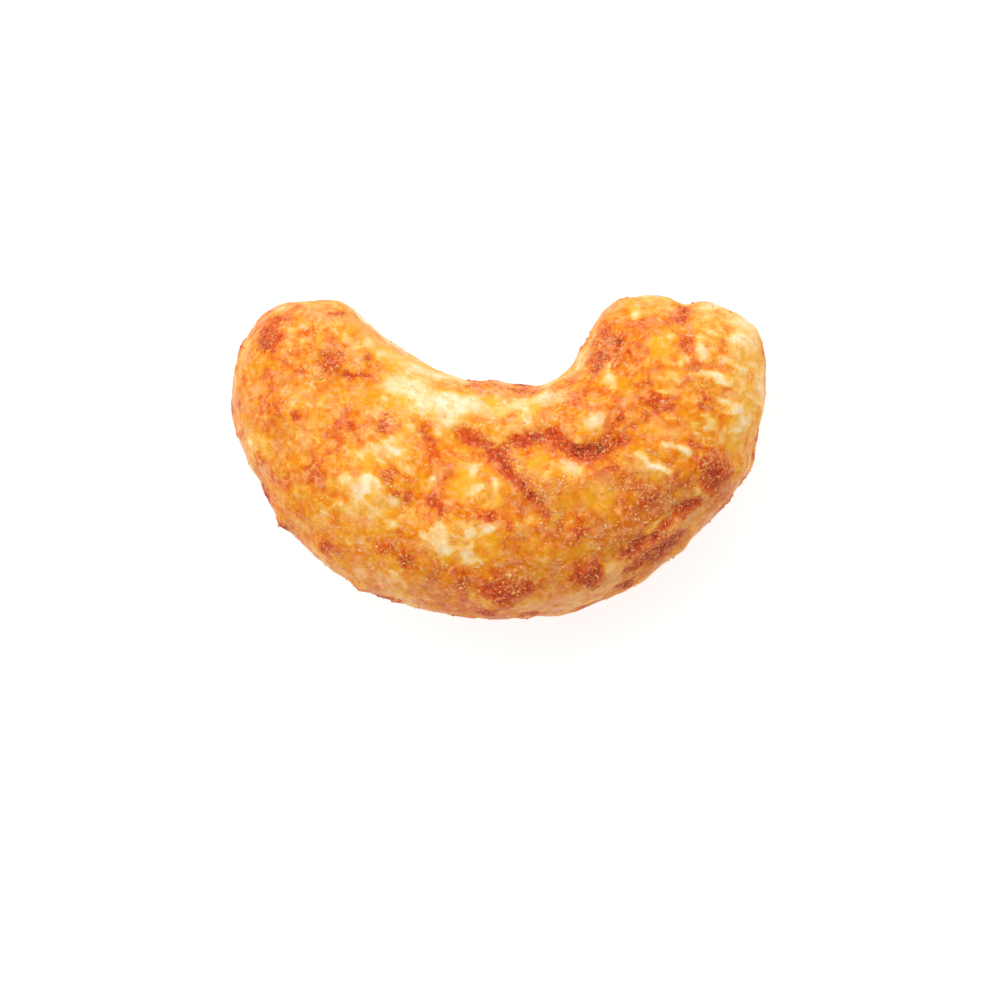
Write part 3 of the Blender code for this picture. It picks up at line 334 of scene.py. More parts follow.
RUST_MARKS = (
    dabs(
        (-11.05, 5.65, 0.66, 1.0), (-10.9, 5.9, 0.4, 0.8), (-10.7, 6.5, 0.51, 0.8), (-11.0, 6.85, 0.30, 0.5),
        (-9.7, 7.1, 0.30, 0.6), (-7.6, 7.5, 0.37, 0.6), (-8.0, 4.8, 0.51, 0.5), (-8.2, 4.2, 0.43, 0.4),
        (-6.4, 4.8, 0.27, 0.7), (-10.9, 2.5, 0.24, 0.7), (-10.6, 2.1, 0.30, 0.8), (-9.9, 2.05, 0.30, 0.75),
        (-5.6, 1.5, 0.30, 1.0), (-5.4, 2.1, 0.21, 0.7), (-4.8, 1.5, 0.24, 0.5), (-7.1, 1.4, 0.30, 0.6),
        (-8.9, -0.4, 0.37, 0.6), (-5.3, -0.7, 0.43, 0.55), (-5.35, -1.2, 0.34, 0.55), (-5.0, -1.8, 0.30, 0.9),
        (-4.4, -1.85, 0.37, 0.7), (-8.4, -4.3, 0.46, 0.9), (-5.2, -4.5, 0.37, 0.7), (-4.5, -4.9, 0.46, 0.9),
        (-4.7, -3.6, 0.30, 0.6), (-6.3, -4.0, 0.30, 0.3), (-3.1, -2.1, 0.37, 1.0), (-2.7, -2.55, 0.30, 0.8),
        (-0.3, -2.85, 0.30, 0.9), (-0.5, -1.2, 0.24, 0.7), (-0.8, -2.75, 0.27, 0.5), (-2.7, -0.9, 0.24, 0.5),
        (0.5, -3.4, 0.30, 0.6), (0.4, -3.9, 0.21, 0.7), (0.8, -4.4, 0.27, 0.5), (2.35, -2.75, 0.34, 0.7),
        (3.8, -3.6, 0.46, 0.8), (3.9, -2.9, 0.27, 0.5), (-1.8, -6.0, 0.49, 0.7), (-0.5, -6.4, 0.37, 0.8),
        (0.1, -6.6, 0.51, 1.0), (0.3, -7.1, 0.37, 0.8), (1.4, -6.3, 0.46, 0.9), (-0.6, -5.9, 0.30, 0.5),
        (4.5, -5.7, 0.67, 1.0), (3.7, -5.5, 0.43, 0.6), (-1.7, -6.9, 0.30, 0.5), (9.05, 7.1, 0.33, 0.9),
        (8.95, 6.7, 0.30, 0.9), (9.05, 5.7, 0.45, 0.8), (9.4, 4.5, 0.37, 0.4), (10.8, 5.65, 0.24, 0.6),
        (5.8, 5.7, 0.40, 0.7), (5.2, 6.1, 0.37, 0.7), (5.0, 4.8, 0.49, 0.8), (4.6, 4.2, 0.37, 0.7),
        (6.3, 5.0, 0.27, 0.6), (3.4, 3.7, 0.24, 0.6), (4.1, 3.6, 0.30, 0.5), (7.6, 2.8, 0.44, 0.9),
        (8.25, 2.35, 0.33, 0.8), (7.1, 2.0, 0.24, 0.7), (5.9, 2.0, 0.27, 0.7), (9.8, 2.7, 0.29, 0.7),
        (10.2, 2.2, 0.24, 0.5), (10.4, -0.9, 0.76, 1.0), (10.9, -0.6, 0.37, 0.8), (9.0, -2.3, 0.37, 1.0),
        (9.6, -2.2, 0.27, 0.8), (6.9, -2.1, 0.44, 0.8), (6.7, -1.4, 0.33, 0.8), (7.5, -1.8, 0.43, 0.6),
        (5.6, -0.6, 0.43, 0.6), (4.9, -4.0, 0.24, 0.5), (8.6, -0.9, 0.37, 0.5), (6.2, -6.1, 0.43, 0.9),
        (12.3, 0.0, 0.37, 1.0), (11.9, -0.8, 0.30, 0.8), (-10.6, -3.0, 0.30, 1.0), (-11.3, -1.8, 0.30, 0.7),
        (-12.5, 1.1, 0.30, 0.8), (-6.9, -6.2, 0.27, 0.7), (-5.6, -6.6, 0.37, 0.8), (1.4, -7.5, 0.30, 0.6),
        (-0.7, -7.5, 0.43, 0.8), (-3.5, 1.4, 0.28, 0.5), (-3.3, 0.85, 0.33, 0.7), (3.8, -1.5, 0.49, 0.3),
        (-8.2, 6.9, 0.24, 0.4), (-11.1, 5.7, 0.6, 0.8), (-8.2, 4.8, 0.7, 0.25), (-7.8, 4.4, 0.6, 0.4),
        (0.3, -6.5, 0.8, 0.6), (-3.3, -3.1, 0.35, 0.4), (-0.8, -3.0, 0.35, 0.5), (4.8, -5.7, 0.6, 0.5),
        (8.3, -4.0, 0.5, 0.6), (7.6, -4.8, 0.5, 0.7), (6.2, -2.5, 0.4, 0.4), (9.9, -0.3, 0.5, 0.6),
        (10.8, -1.9, 0.5, 0.5), (5.0, 0.1, 0.5, 0.4), (-10.6, -3.2, 0.4, 1.0), (6.7, 3.5, 0.35, 0.4),
        (9.3, 0.7, 0.35, 0.4), (-10.9, -1.8, 0.4, 0.6), (1.7, -7.6, 0.4, 0.5), (4.4, -5.8, 0.6, 0.4),
        (7.6, -4.7, 0.5, 0.5), (1.2, 0.85, 0.45, 0.6), (2.3, 1.0, 0.4, 0.7), (0.1, 0.1, 0.45, 0.3),
        (6.2, -6.2, 0.4, 0.5), (10.2, -1.5, 0.45, 0.5), (4.8, 0.5, 0.35, 0.4), (-10.5, -3.4, 0.4, 0.8),
        (-0.6, -7.6, 0.4, 0.5),
    )
    + stroke(0.20, 0.7, (-8.2, 6.9), (-7.6, 6.9))
    + stroke(0.24, 0.5, (-7.6, 3.95), (-6.9, 3.85), (-6.2, 4.15))
    + stroke(0.44, 0.75, (-1.9, 1.2), (-1.5, 1.05), (-1.0, 0.85), (-0.5, 0.45), (0.0, 0.1), (0.5, -0.5))
    + stroke(0.36, 0.8, (0.5, -0.5), (0.9, -1.1), (1.4, -1.75), (1.9, -2.05))
    + stroke(0.42, 0.8, (0.8, 0.85), (1.3, 0.95), (1.8, 1.0), (2.6, 1.2), (3.1, 0.6), (3.8, 0.2))
    + stroke(0.44, 0.8, (3.8, 0.2), (4.5, 0.3), (5.2, 0.55), (6.1, 0.9), (6.3, 1.4))
    + stroke(0.22, 0.6, (-1.6, 3.35), (-0.6, 3.4), (0.2, 3.3), (1.2, 3.2), (1.9, 3.1))
    + stroke(0.38, 0.85, (9.4, -2.3), (8.2, -2.95), (7.7, -3.6), (6.7, -4.2), (6.1, -4.6))
    + stroke(0.45, 0.95, (8.8, -3.8), (8.2, -4.1), (7.5, -4.55), (6.9, -5.0), (6.2, -5.5))
    + stroke(0.18, 0.35, (4.2, 5.6), (4.8, 6.5), (5.4, 7.1))
    + stroke(0.18, 0.7, (-7.0, -6.35), (-5.9, -6.65), (-4.8, -6.95))
)

SCORCH_MARKS = dabs(
    (3.85, 0.2, 0.34, 1.0), (2.55, 1.35, 0.26, 0.8), (1.4, -1.75, 0.22, 0.9), (0.0, 0.1, 0.24, 0.6),
    (-1.7, 1.2, 0.24, 0.5), (0.05, -6.7, 0.3, 0.6), (4.65, -5.6, 0.28, 0.9), (4.4, -5.95, 0.22, 0.6),
    (9.05, 5.55, 0.22, 0.3), (8.95, 6.7, 0.16, 0.5), (10.5, -1.0, 0.35, 0.6), (9.0, -2.3, 0.22, 0.8),
    (7.8, -3.55, 0.16, 0.7), (8.4, -4.1, 0.28, 0.8), (7.5, -4.5, 0.32, 0.8), (6.8, -5.05, 0.24, 0.7),
    (6.2, -6.05, 0.24, 0.8), (12.35, 0.1, 0.24, 0.8), (-11.1, 5.6, 0.35, 0.7), (-10.55, -3.05, 0.22, 0.8),
    (7.7, 2.8, 0.22, 0.5), (-8.4, -4.35, 0.22, 0.4), (0.4, -3.85, 0.16, 0.6), (1.5, -6.25, 0.2, 0.6),
    (6.7, 3.8, 0.2, 0.4), (-5.6, 1.5, 0.16, 0.4), (-5.7, -6.6, 0.2, 0.5), (-0.7, -7.55, 0.24, 0.6),
)

# Broad brownish patches, mostly on the lower right: partly the flesh's browner tone and partly painted shade
# where that side falls darker.
OCHRE_AND_SHADE_MARKS = dabs(
    (1.6, -3.2, 1.6, 0.6), (3.6, -3.6, 1.8, 0.7), (5.4, -3.2, 1.8, 0.7), (7.0, -1.6, 1.5, 0.6),
    (3.0, -5.2, 1.6, 0.6), (5.6, -5.0, 1.4, 0.7), (8.6, -2.8, 1.3, 0.8), (10.4, -1.6, 1.2, 0.7),
    (6.0, 0.2, 1.3, 0.4), (7.4, -4.4, 1.2, 0.8), (1.0, -1.0, 1.0, 0.3), (-10.4, 1.2, 1.0, 0.4),
    (-8.4, -2.6, 1.4, 0.3), (5.6, 5.0, 0.8, 0.3), (0.6, -6.0, 1.4, 0.5), (-3.4, -6.2, 1.2, 0.3),
    (7.0, 0.1, 0.7, 0.6), (6.4, -0.7, 0.6, 0.5), (8.0, -0.6, 0.5, 0.5), (8.0, -1.9, 0.7, 0.5),
    (4.8, -3.7, 0.6, 0.7), (1.0, -5.7, 0.7, 0.5), (2.8, -5.5, 0.6, 0.5), (-1.4, -5.0, 0.4, 0.7),
    (-0.6, -3.7, 0.4, 0.6), (0.9, -1.3, 0.4, 0.6), (5.2, 5.8, 0.6, 0.6), (-6.8, -1.5, 0.4, 0.5),
    (11.5, 2.6, 0.5, 0.4), (10.3, 1.9, 0.35, 0.7), (-3.8, 3.2, 0.6, 0.4), (-2.6, 1.8, 0.4, 0.5),
    (-3.3, -6.6, 0.6, 0.5), (6.8, -2.5, 0.6, 0.6), (2.3, -3.0, 0.5, 0.5), (-2.7, -4.6, 0.5, 0.5),
    (5.0, 0.5, 0.5, 0.5), (3.7, -0.5, 0.5, 0.4), (9.4, 4.3, 0.5, 0.6),
    (-10.3, 1.9, 0.4, 0.6), (-11.9, 0.7, 0.6, 0.4),
)

CRYSTAL_MARKS = dabs(
    (-1.0, 1.3, 0.4, 0.7), (-0.3, 1.0, 0.4, 0.8), (0.3, 0.4, 0.4, 0.9), (0.7, 0.0, 0.4, 1.0),
    (1.0, -0.6, 0.4, 1.0), (1.3, -1.0, 0.4, 1.0), (1.7, -1.4, 0.45, 1.0), (2.2, -1.9, 0.4, 0.9),
    (2.6, -2.4, 0.5, 0.7), (1.6, 1.5, 0.4, 0.8), (2.4, 1.7, 0.4, 0.9), (2.9, 1.9, 0.4, 0.8),
    (3.1, 1.3, 0.35, 0.7), (4.4, 0.8, 0.4, 0.7), (5.0, 0.9, 0.4, 0.8), (5.4, 0.6, 0.4, 0.7),
    (2.6, -1.4, 0.5, 0.8), (3.2, -1.3, 0.5, 0.7), (3.9, -1.1, 0.5, 0.6), (5.5, -1.5, 0.5, 0.7),
    (6.3, -1.1, 0.5, 0.8), (7.0, -1.6, 0.6, 0.7), (7.6, -2.2, 0.6, 0.6), (6.2, -2.6, 0.5, 0.4),
    (7.2, -3.4, 0.5, 0.6), (6.5, -3.9, 0.5, 0.7), (5.6, -3.9, 0.5, 0.5), (4.6, -4.1, 0.5, 0.5),
    (8.3, -2.2, 0.5, 0.8), (9.2, -1.6, 0.5, 0.7), (10.1, -0.3, 0.5, 0.9), (-9.0, 4.6, 0.5, 0.6),
    (-10.2, 2.8, 0.5, 0.7), (-10.3, 3.3, 0.4, 0.6), (-6.7, 4.5, 0.5, 0.6), (8.4, 5.8, 0.4, 0.5),
    (-8.6, 4.2, 0.4, 0.7), (-7.9, 5.3, 0.5, 0.6), (-9.3, 3.3, 0.4, 0.6), (-9.9, 2.7, 0.4, 0.8),
    (-5.3, 1.9, 0.4, 0.7), (-5.2, -0.9, 0.4, 0.7), (-4.6, -2.0, 0.4, 0.8), (-6.4, -1.4, 0.4, 0.5),
    (-5.8, -4.2, 0.5, 0.6), (-5.0, -4.4, 0.5, 0.8), (-4.0, -4.7, 0.5, 0.7), (-3.0, -5.3, 0.5, 0.6),
    (-1.6, -5.8, 0.6, 0.8), (0.6, -5.9, 0.6, 0.9), (1.5, -5.5, 0.5, 0.6), (0.8, -3.6, 0.5, 0.6),
    (2.8, -3.2, 0.5, 0.7), (2.0, 3.3, 0.4, 0.8), (2.4, 3.4, 0.3, 0.7), (3.0, 2.9, 0.4, 0.6),
    (5.4, 6.2, 0.5, 0.5), (5.9, 5.5, 0.4, 0.6), (9.1, 6.4, 0.4, 0.6), (9.3, 5.1, 0.4, 0.7),
    (9.8, 3.2, 0.4, 0.5), (8.2, -4.0, 0.5, 0.8), (7.4, -4.7, 0.5, 0.8), (6.4, -5.6, 0.5, 0.7),
    (2.6, 3.4, 0.4, 0.8), (3.2, 3.7, 0.4, 0.9), (3.7, 4.3, 0.4, 0.9), (4.0, 4.9, 0.4, 0.8),
    (4.6, 5.4, 0.5, 0.8), (5.2, 5.0, 0.5, 0.8), (4.8, 4.3, 0.5, 0.7), (5.6, 4.4, 0.5, 0.6),
    (0.6, 3.2, 0.5, 0.7), (1.4, 3.1, 0.4, 0.8), (-1.2, 3.2, 0.5, 0.6), (-10.9, 5.8, 0.6, 0.6),
)

MARKS: dict[Tone, tuple[Mark, ...]] = {
    Tone.CREAM: CREAM_AND_EDGE_LIGHT_MARKS,
    Tone.GOLD: GOLD_AND_EDGE_LIGHT_MARKS,
    Tone.AMBER: AMBER_MARKS,
    Tone.PEACH: PEACH_AND_RIM_SHEEN_MARKS,
    Tone.RUST: RUST_MARKS,
    Tone.SCORCH: SCORCH_MARKS,
    Tone.OCHRE: OCHRE_AND_SHADE_MARKS,
    Tone.CRYSTAL: CRYSTAL_MARKS,
}


def smooth_step(value: np.ndarray, low: float, high: float) -> np.ndarray:
    """Rises smoothly from 0 at low to 1 at high."""
    share = np.clip((value - low) / (high - low), 0.0, 1.0)
    return share * share * (3.0 - 2.0 * share)


def bell(distance: np.ndarray, reach: float) -> np.ndarray:
    """A smooth hump: 1 at the middle and about a third at its reach."""
    return np.exp(-((distance / reach) ** 2))


def noise_at(places: np.ndarray, size: float, seed: float) -> np.ndarray:
    """Gradient noise of about -1 to 1.

    Args:
        places: Points in millimetres, one a row.
        size: Width of one wave, in millimetres.
        seed: Offset of the noise.

    Returns:
        One value for each point.
    """
    offset = Vector((seed, 2.0 * seed, -seed))
    return np.array([noise.noise(Vector(p) / size + offset) for p in places])


@dataclass(frozen=True)
class Ripple:
    """One size of gradient noise, such as a roughness of the skin or a sway of its stains.

    Attributes:
        size: Width of one wave, in millimetres.
        seed: Offset of the noise, so that no two run alike.
        share: How much it counts, or its height in millimetres.
        crust_share: How much more it counts in a crust.
    """

    size: float
    seed: float
    share: float = 1.0
    crust_share: float = 0.0

    def at(self, places: np.ndarray, crust: np.ndarray | float = 0.0) -> np.ndarray:
        """Its value at each point, for this much crust there."""
        return (self.share + self.crust_share * crust) * noise_at(places, self.size, self.seed)


def side_by_side(ripples: tuple[Ripple, ...], places: np.ndarray) -> np.ndarray:
    """One column for each ripple and one row for each point."""
    return np.stack([ripple.at(places) for ripple in ripples], axis=1)


@dataclass(frozen=True)
class Drift:
    """How a stain is spread over the sides and the underside, where the marks don't reach.

    Attributes:
        size: Width of a patch, in millimetres.
        cover: Noise level about which the stain shows; lower covers more.
        strength: How full the stain is at most, from 0 to 1.
        seed: Offset of the noise, so that the stains don't follow each other.
        ragged_size: Width of the tatters of its edge, in millimetres.
        ragged_share: How ragged its edge is.
        edge: Noise levels, from its cover, between which the stain grows.
    """

    size: float
    cover: float
    strength: float
    seed: float
    ragged_size: float = 0.55
    ragged_share: float = 0.45
    edge: tuple[float, float] = (-0.1, 0.35)

    def amount(self, places: np.ndarray, aside: np.ndarray) -> np.ndarray:
        """How full the stain is at each point.

        Args:
            places: Points in millimetres.
            aside: How much each point belongs to the sides, from 0 to 1.

        Returns:
            A share from 0 to 1 for each point.
        """
        waves = noise_at(places, self.size, self.seed)
        waves += self.ragged_share * noise_at(places, self.ragged_size, -self.seed)
        low, high = (self.cover + step for step in self.edge)
        return aside * self.strength * smooth_step(waves, low, high)


DRIFTS: dict[Tone, Drift] = {
    Tone.CREAM: Drift(size=1.8, cover=0.10, strength=0.55, seed=11.3),
    Tone.GOLD: Drift(size=2.0, cover=0.05, strength=0.9, seed=23.7),
    Tone.AMBER: Drift(size=1.9, cover=-0.05, strength=0.8, seed=37.1),
    Tone.PEACH: Drift(size=2.8, cover=0.12, strength=0.5, seed=41.9),
    Tone.RUST: Drift(size=1.3, cover=0.16, strength=0.7, seed=53.3),
    Tone.SCORCH: Drift(size=0.7, cover=0.36, strength=0.8, seed=67.7),
    Tone.OCHRE: Drift(size=3.0, cover=0.05, strength=0.5, seed=73.1),
    Tone.CRYSTAL: Drift(size=1.5, cover=0.30, strength=0.6, seed=79.9),
}


@dataclass(frozen=True)
class Streaks:
    """A part of the upper face where the skin is streaked in one direction.

    Attributes:
        middle: Middle of the part, in millimetres.
        reach: Distance at which the streaks have faded to about a third.
        angle: Direction of the streaks, in degrees from +X.
        strength: How strong they are.
    """

    middle: Point
    reach: float
    angle: float
    strength: float


STREAKS = (
    Streaks((9.6, 3.2), 3.0, -14.0, 1.0),
    Streaks((-5.6, -0.6), 2.6, -42.0, 0.7),
    Streaks((-8.0, 5.0), 2.2, 18.0, 0.5),
    Streaks((4.5, 4.8), 1.8, 50.0, 0.5),
    Streaks((-1.0, -3.5), 2.4, 25.0, 0.5),
)


@dataclass(frozen=True)
class Swell:
    """A place where the kernel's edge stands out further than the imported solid's, or less far.

    Attributes:
        middle: Middle of the place, in millimetres.
        reach: Distance at which it has faded to about a third.
        rise: How far it stands out, in millimetres, below 0 where it is drawn in.
    """

    middle: Point
    reach: float
    rise: float


SWELLS = (
    Swell((-10.6, 7.0), 1.2, 0.26),
    Swell((-8.2, 7.9), 1.3, 0.14),
    Swell((-12.8, 4.6), 1.3, 0.10),
    Swell((-6.4, 6.3), 1.2, 0.10),
    Swell((-3.0, 4.0), 1.4, 0.10),
    Swell((0.0, 3.6), 1.0, 0.12),
    Swell((6.1, 7.7), 0.8, 0.24),
    Swell((8.6, 8.0), 1.4, 0.06),
    Swell((12.2, 6.0), 0.9, 0.24),
    Swell((12.9, 2.0), 1.3, 0.14),
    Swell((-9.2, -4.6), 1.2, -0.10),
    Swell((-3.2, -7.4), 1.6, -0.08),
    Swell((10.2, -3.6), 1.0, -0.08),
    Swell((-10.6, -3.2), 0.4, 0.24),
    Swell((3.5, 4.6), 0.6, -0.16),
    Swell((4.7, 6.5), 0.6, 0.10),
    Swell((-0.6, 3.7), 0.7, 0.12),
    Swell((9.8, 7.7), 0.7, 0.10),
    Swell((12.4, -0.4), 0.7, 0.12),
    Swell((8.9, -4.5), 0.7, 0.12),
    Swell((-11.6, -1.4), 0.8, -0.13),
    Swell((-7.6, -5.9), 0.7, -0.13),
    Swell((10.9, -2.7), 0.7, -0.10),
    Swell((-7.5, 7.5), 0.6, 0.10),
    Swell((-11.6, 7.0), 0.6, -0.12),
    Swell((-1.7, -7.8), 1.0, -0.08),
    Swell((-6.7, -6.5), 0.5, 0.16),
    Swell((6.9, -6.0), 0.6, 0.10),
)


@dataclass(frozen=True)
class Crease:
    """A furrow with a raised lip, or a plain ridge, along a route of the upper face.

    Attributes:
        route: Its points, in millimetres.
        width: Distance at which it has faded to about a third.
        rise: Height in millimetres, below 0 for a furrow.
        lip: Height of the lip on the left of the route, or on its right if it is below 0.
        lip_place: How many widths the lip lies beside the route.
    """

    route: tuple[Point, ...]
    width: float
    rise: float
    lip: float = 0.0
    lip_place: float = 1.5


CREASES = (
    Crease(((-1.9, 1.25), (-1.5, 1.1), (-0.9, 0.8), (-0.4, 0.4), (0.0, 0.1), (0.5, -0.5)), 0.32, -0.15, 0.10),
    Crease(((0.5, -0.5), (0.9, -1.1), (1.4, -1.75), (1.9, -2.1), (2.3, -2.7)), 0.30, -0.11, 0.09),
    Crease(((0.7, 0.8), (1.2, 0.95), (1.8, 1.0), (2.6, 1.2), (3.1, 0.6), (3.8, 0.2)), 0.32, -0.13, 0.10),
    Crease(((3.2, 0.4), (3.8, 0.1), (4.4, 0.3)), 0.36, -0.15),
    Crease(((3.8, 0.2), (4.5, 0.3), (5.2, 0.55), (6.1, 0.9)), 0.30, -0.14, 0.08),
    Crease(((-3.5, 1.4), (-3.3, 0.9), (-3.1, 0.2)), 0.32, -0.08, 0.04),
    Crease(((7.1, 3.0), (7.8, 2.8), (8.4, 2.2)), 0.28, -0.08),
    Crease(((9.15, 8.0), (9.05, 7.0), (9.05, 6.2), (9.1, 5.3)), 0.32, -0.14),
    Crease(((9.6, -2.1), (8.3, -2.9), (7.7, -3.6), (6.6, -4.2)), 0.30, -0.16, -0.10),
    Crease(((8.9, -3.8), (8.2, -4.2), (7.5, -4.6), (6.8, -5.1), (6.2, -5.6)), 0.32, -0.18, -0.12),
    Crease(((-7.6, 3.95), (-6.9, 3.8), (-6.2, 4.15)), 0.26, -0.08, 0.04),
    Crease(((5.3, 4.5), (5.4, 3.8), (5.5, 3.2)), 0.20, 0.05),
    Crease(((9.7, 5.5), (9.7, 4.7)), 0.18, 0.05),
    Crease(((9.9, 4.0), (10.5, 3.85), (11.1, 3.6)), 0.18, 0.05),
    Crease(((10.7, 2.6), (11.5, 2.3)), 0.17, 0.04),
    Crease(((8.1, 1.9), (9.1, 1.8)), 0.17, 0.04),
    Crease(((8.2, 0.65), (8.7, 0.5), (9.2, 0.2)), 0.18, 0.07),
    Crease(((6.7, 0.15), (7.0, -0.1), (7.2, -0.45), (7.8, -0.55), (8.3, -0.75)), 0.18, 0.08),
)


@dataclass(frozen=True)
class Wrinkles:
    """Thin wandering furrows in some patches of the shrunken skin.

    Attributes:
        courses: The noises whose sum is 0 where a furrow runs.
        patches: The noise that sets where there are furrows.
        levels: Levels of that noise between which the furrows grow.
        depth: How deep they are, in millimetres.
        width: Level of the courses' sum at which a furrow has faded to about a third.
        top_spared: Share by which the upper face is spared.
    """

    courses: tuple[Ripple, Ripple]
    patches: Ripple
    levels: tuple[float, float]
    depth: float
    width: float
    top_spared: float = 0.0

    def depth_at(self, places: np.ndarray, on_top: np.ndarray) -> np.ndarray:
        """How deep the furrows are at each point.

        Args:
            places: Points in millimetres.
            on_top: How much each point belongs to the upper face, from 0 to 1.

        Returns:
            One depth in millimetres for each point.
        """
        first, second = self.courses
        course = first.at(places) + second.at(places)
        spread = smooth_step(self.patches.at(places), *self.levels) * (1.0 - on_top * self.top_spared)
        return self.depth * spread * bell(course, self.width)


WRINKLES = (
    Wrinkles((Ripple(3.1, 43.0), Ripple(0.8, 47.0, 0.25)), Ripple(2.2, 51.0), (-0.1, 0.3), 0.15, 0.07, 0.9),
    Wrinkles((Ripple(2.4, 59.0), Ripple(0.7, 61.0, 0.3)), Ripple(1.6, 67.0), (0.0, 0.5), 0.05, 0.15),
)


def distance_to(places: np.ndarray, route: tuple[tuple[float, ...], ...]) -> np.ndarray:
    """Distance from points to a route, below 0 on its right: level if the route has no heights.

    Args:
        places: Points in millimetres.
        route: One point, or the points of a line, with or without their heights.

    Returns:
        One distance in millimetres for each point.
    """
    places = places[:, : len(route[0])]
    if len(route) == 1:
        return np.linalg.norm(places - np.array(route[0]), axis=1)
    nearest = np.full(len(places), np.inf)
    for start, end in zip(route, route[1:]):
        start, step = np.array(start), np.array(end) - np.array(start)
        from_start = places - start
        share = np.clip(from_start @ step / (step @ step), 0.0, 1.0)
        gap = np.linalg.norm(from_start - share[:, None] * step, axis=1)
        side = np.where(step[0] * from_start[:, 1] < step[1] * from_start[:, 0], -1.0, 1.0)
        nearest = np.where(gap < np.abs(nearest), gap * side, nearest)
    return nearest


class UpperFace:
    """The upper face of the kernel, on which routes are laid."""

    def __init__(self, places: np.ndarray, normals: np.ndarray) -> None:
        """Keeps the points that face upwards.

        Args:
            places: Points in millimetres.
            normals: Normals there.
        """
        self.places = places[normals[:, 2] > 0.0]
        self.tree = kdtree.KDTree(len(self.places))
        for number, (x, y, _) in enumerate(self.places):
            self.tree.insert((x, y, 0.0), number)
        self.tree.balance()

    def lay(self, route: tuple[Point, ...], stride: float = 0.4) -> tuple[tuple[float, ...], ...]:
        """Lays a route on the face.

        Args:
            route: Its points, seen from above, in millimetres.
            stride: Longest step between two laid points.

        Returns:
            The laid points, with their heights.
        """
        level = [route[0]]
        for start, end in zip(route, route[1:]):
            steps = math.ceil(math.dist(start, end) / stride)
            start, step = np.array(start), np.array(end) - np.array(start)
            level += [tuple(start + step * number / steps) for number in range(1, steps + 1)]
        return tuple((x, y, self.places[self.tree.find((x, y, 0.0))[1]][2]) for x, y in level)


Term = "Wire | float | int"


class Wire:
    """An output socket of a shader tree, with which shader maths is written as expressions."""

    def __init__(self, graph: "Graph", socket: bpy.types.NodeSocket) -> None:
        """Wraps one output socket of a graph."""
        self.graph = graph
        self.socket = socket

    def maths(self, operation: str, *terms: Term) -> "Wire":
        """Adds a Math node that works on these terms, in their order."""
        return self.graph.node("ShaderNodeMath", {"operation": operation}, dict(enumerate(terms)))

    def __add__(self, other: Term) -> "Wire":
        """Sum."""
        return self.maths("ADD", self, other)

    def __radd__(self, other: Term) -> "Wire":
        """Sum, from the right."""
        return self.maths("ADD", other, self)

    def __sub__(self, other: Term) -> "Wire":
        """Difference."""
        return self.maths("SUBTRACT", self, other)

    def __rsub__(self, other: Term) -> "Wire":
        """Difference, from the right."""
        return self.maths("SUBTRACT", other, self)

    def __mul__(self, other: Term) -> "Wire":
        """Product."""
        return self.maths("MULTIPLY", self, other)

    def __rmul__(self, other: Term) -> "Wire":
        """Product, from the right."""
        return self.maths("MULTIPLY", other, self)

    def size(self) -> "Wire":
        """The value without its sign."""
        return self.maths("ABSOLUTE", self)

    def clamped(self) -> "Wire":
        """The value kept between 0 and 1."""
        return self.graph.node("ShaderNodeClamp", {}, {"Value": self})

    def step(self, low: float, high: float) -> "Wire":
        """Rises smoothly from 0 at low to 1 at high."""
        return self.graph.node(
            "ShaderNodeMapRange",
            {"interpolation_type": "SMOOTHSTEP"},
            {"Value": self, "From Min": low, "From Max": high},
        )


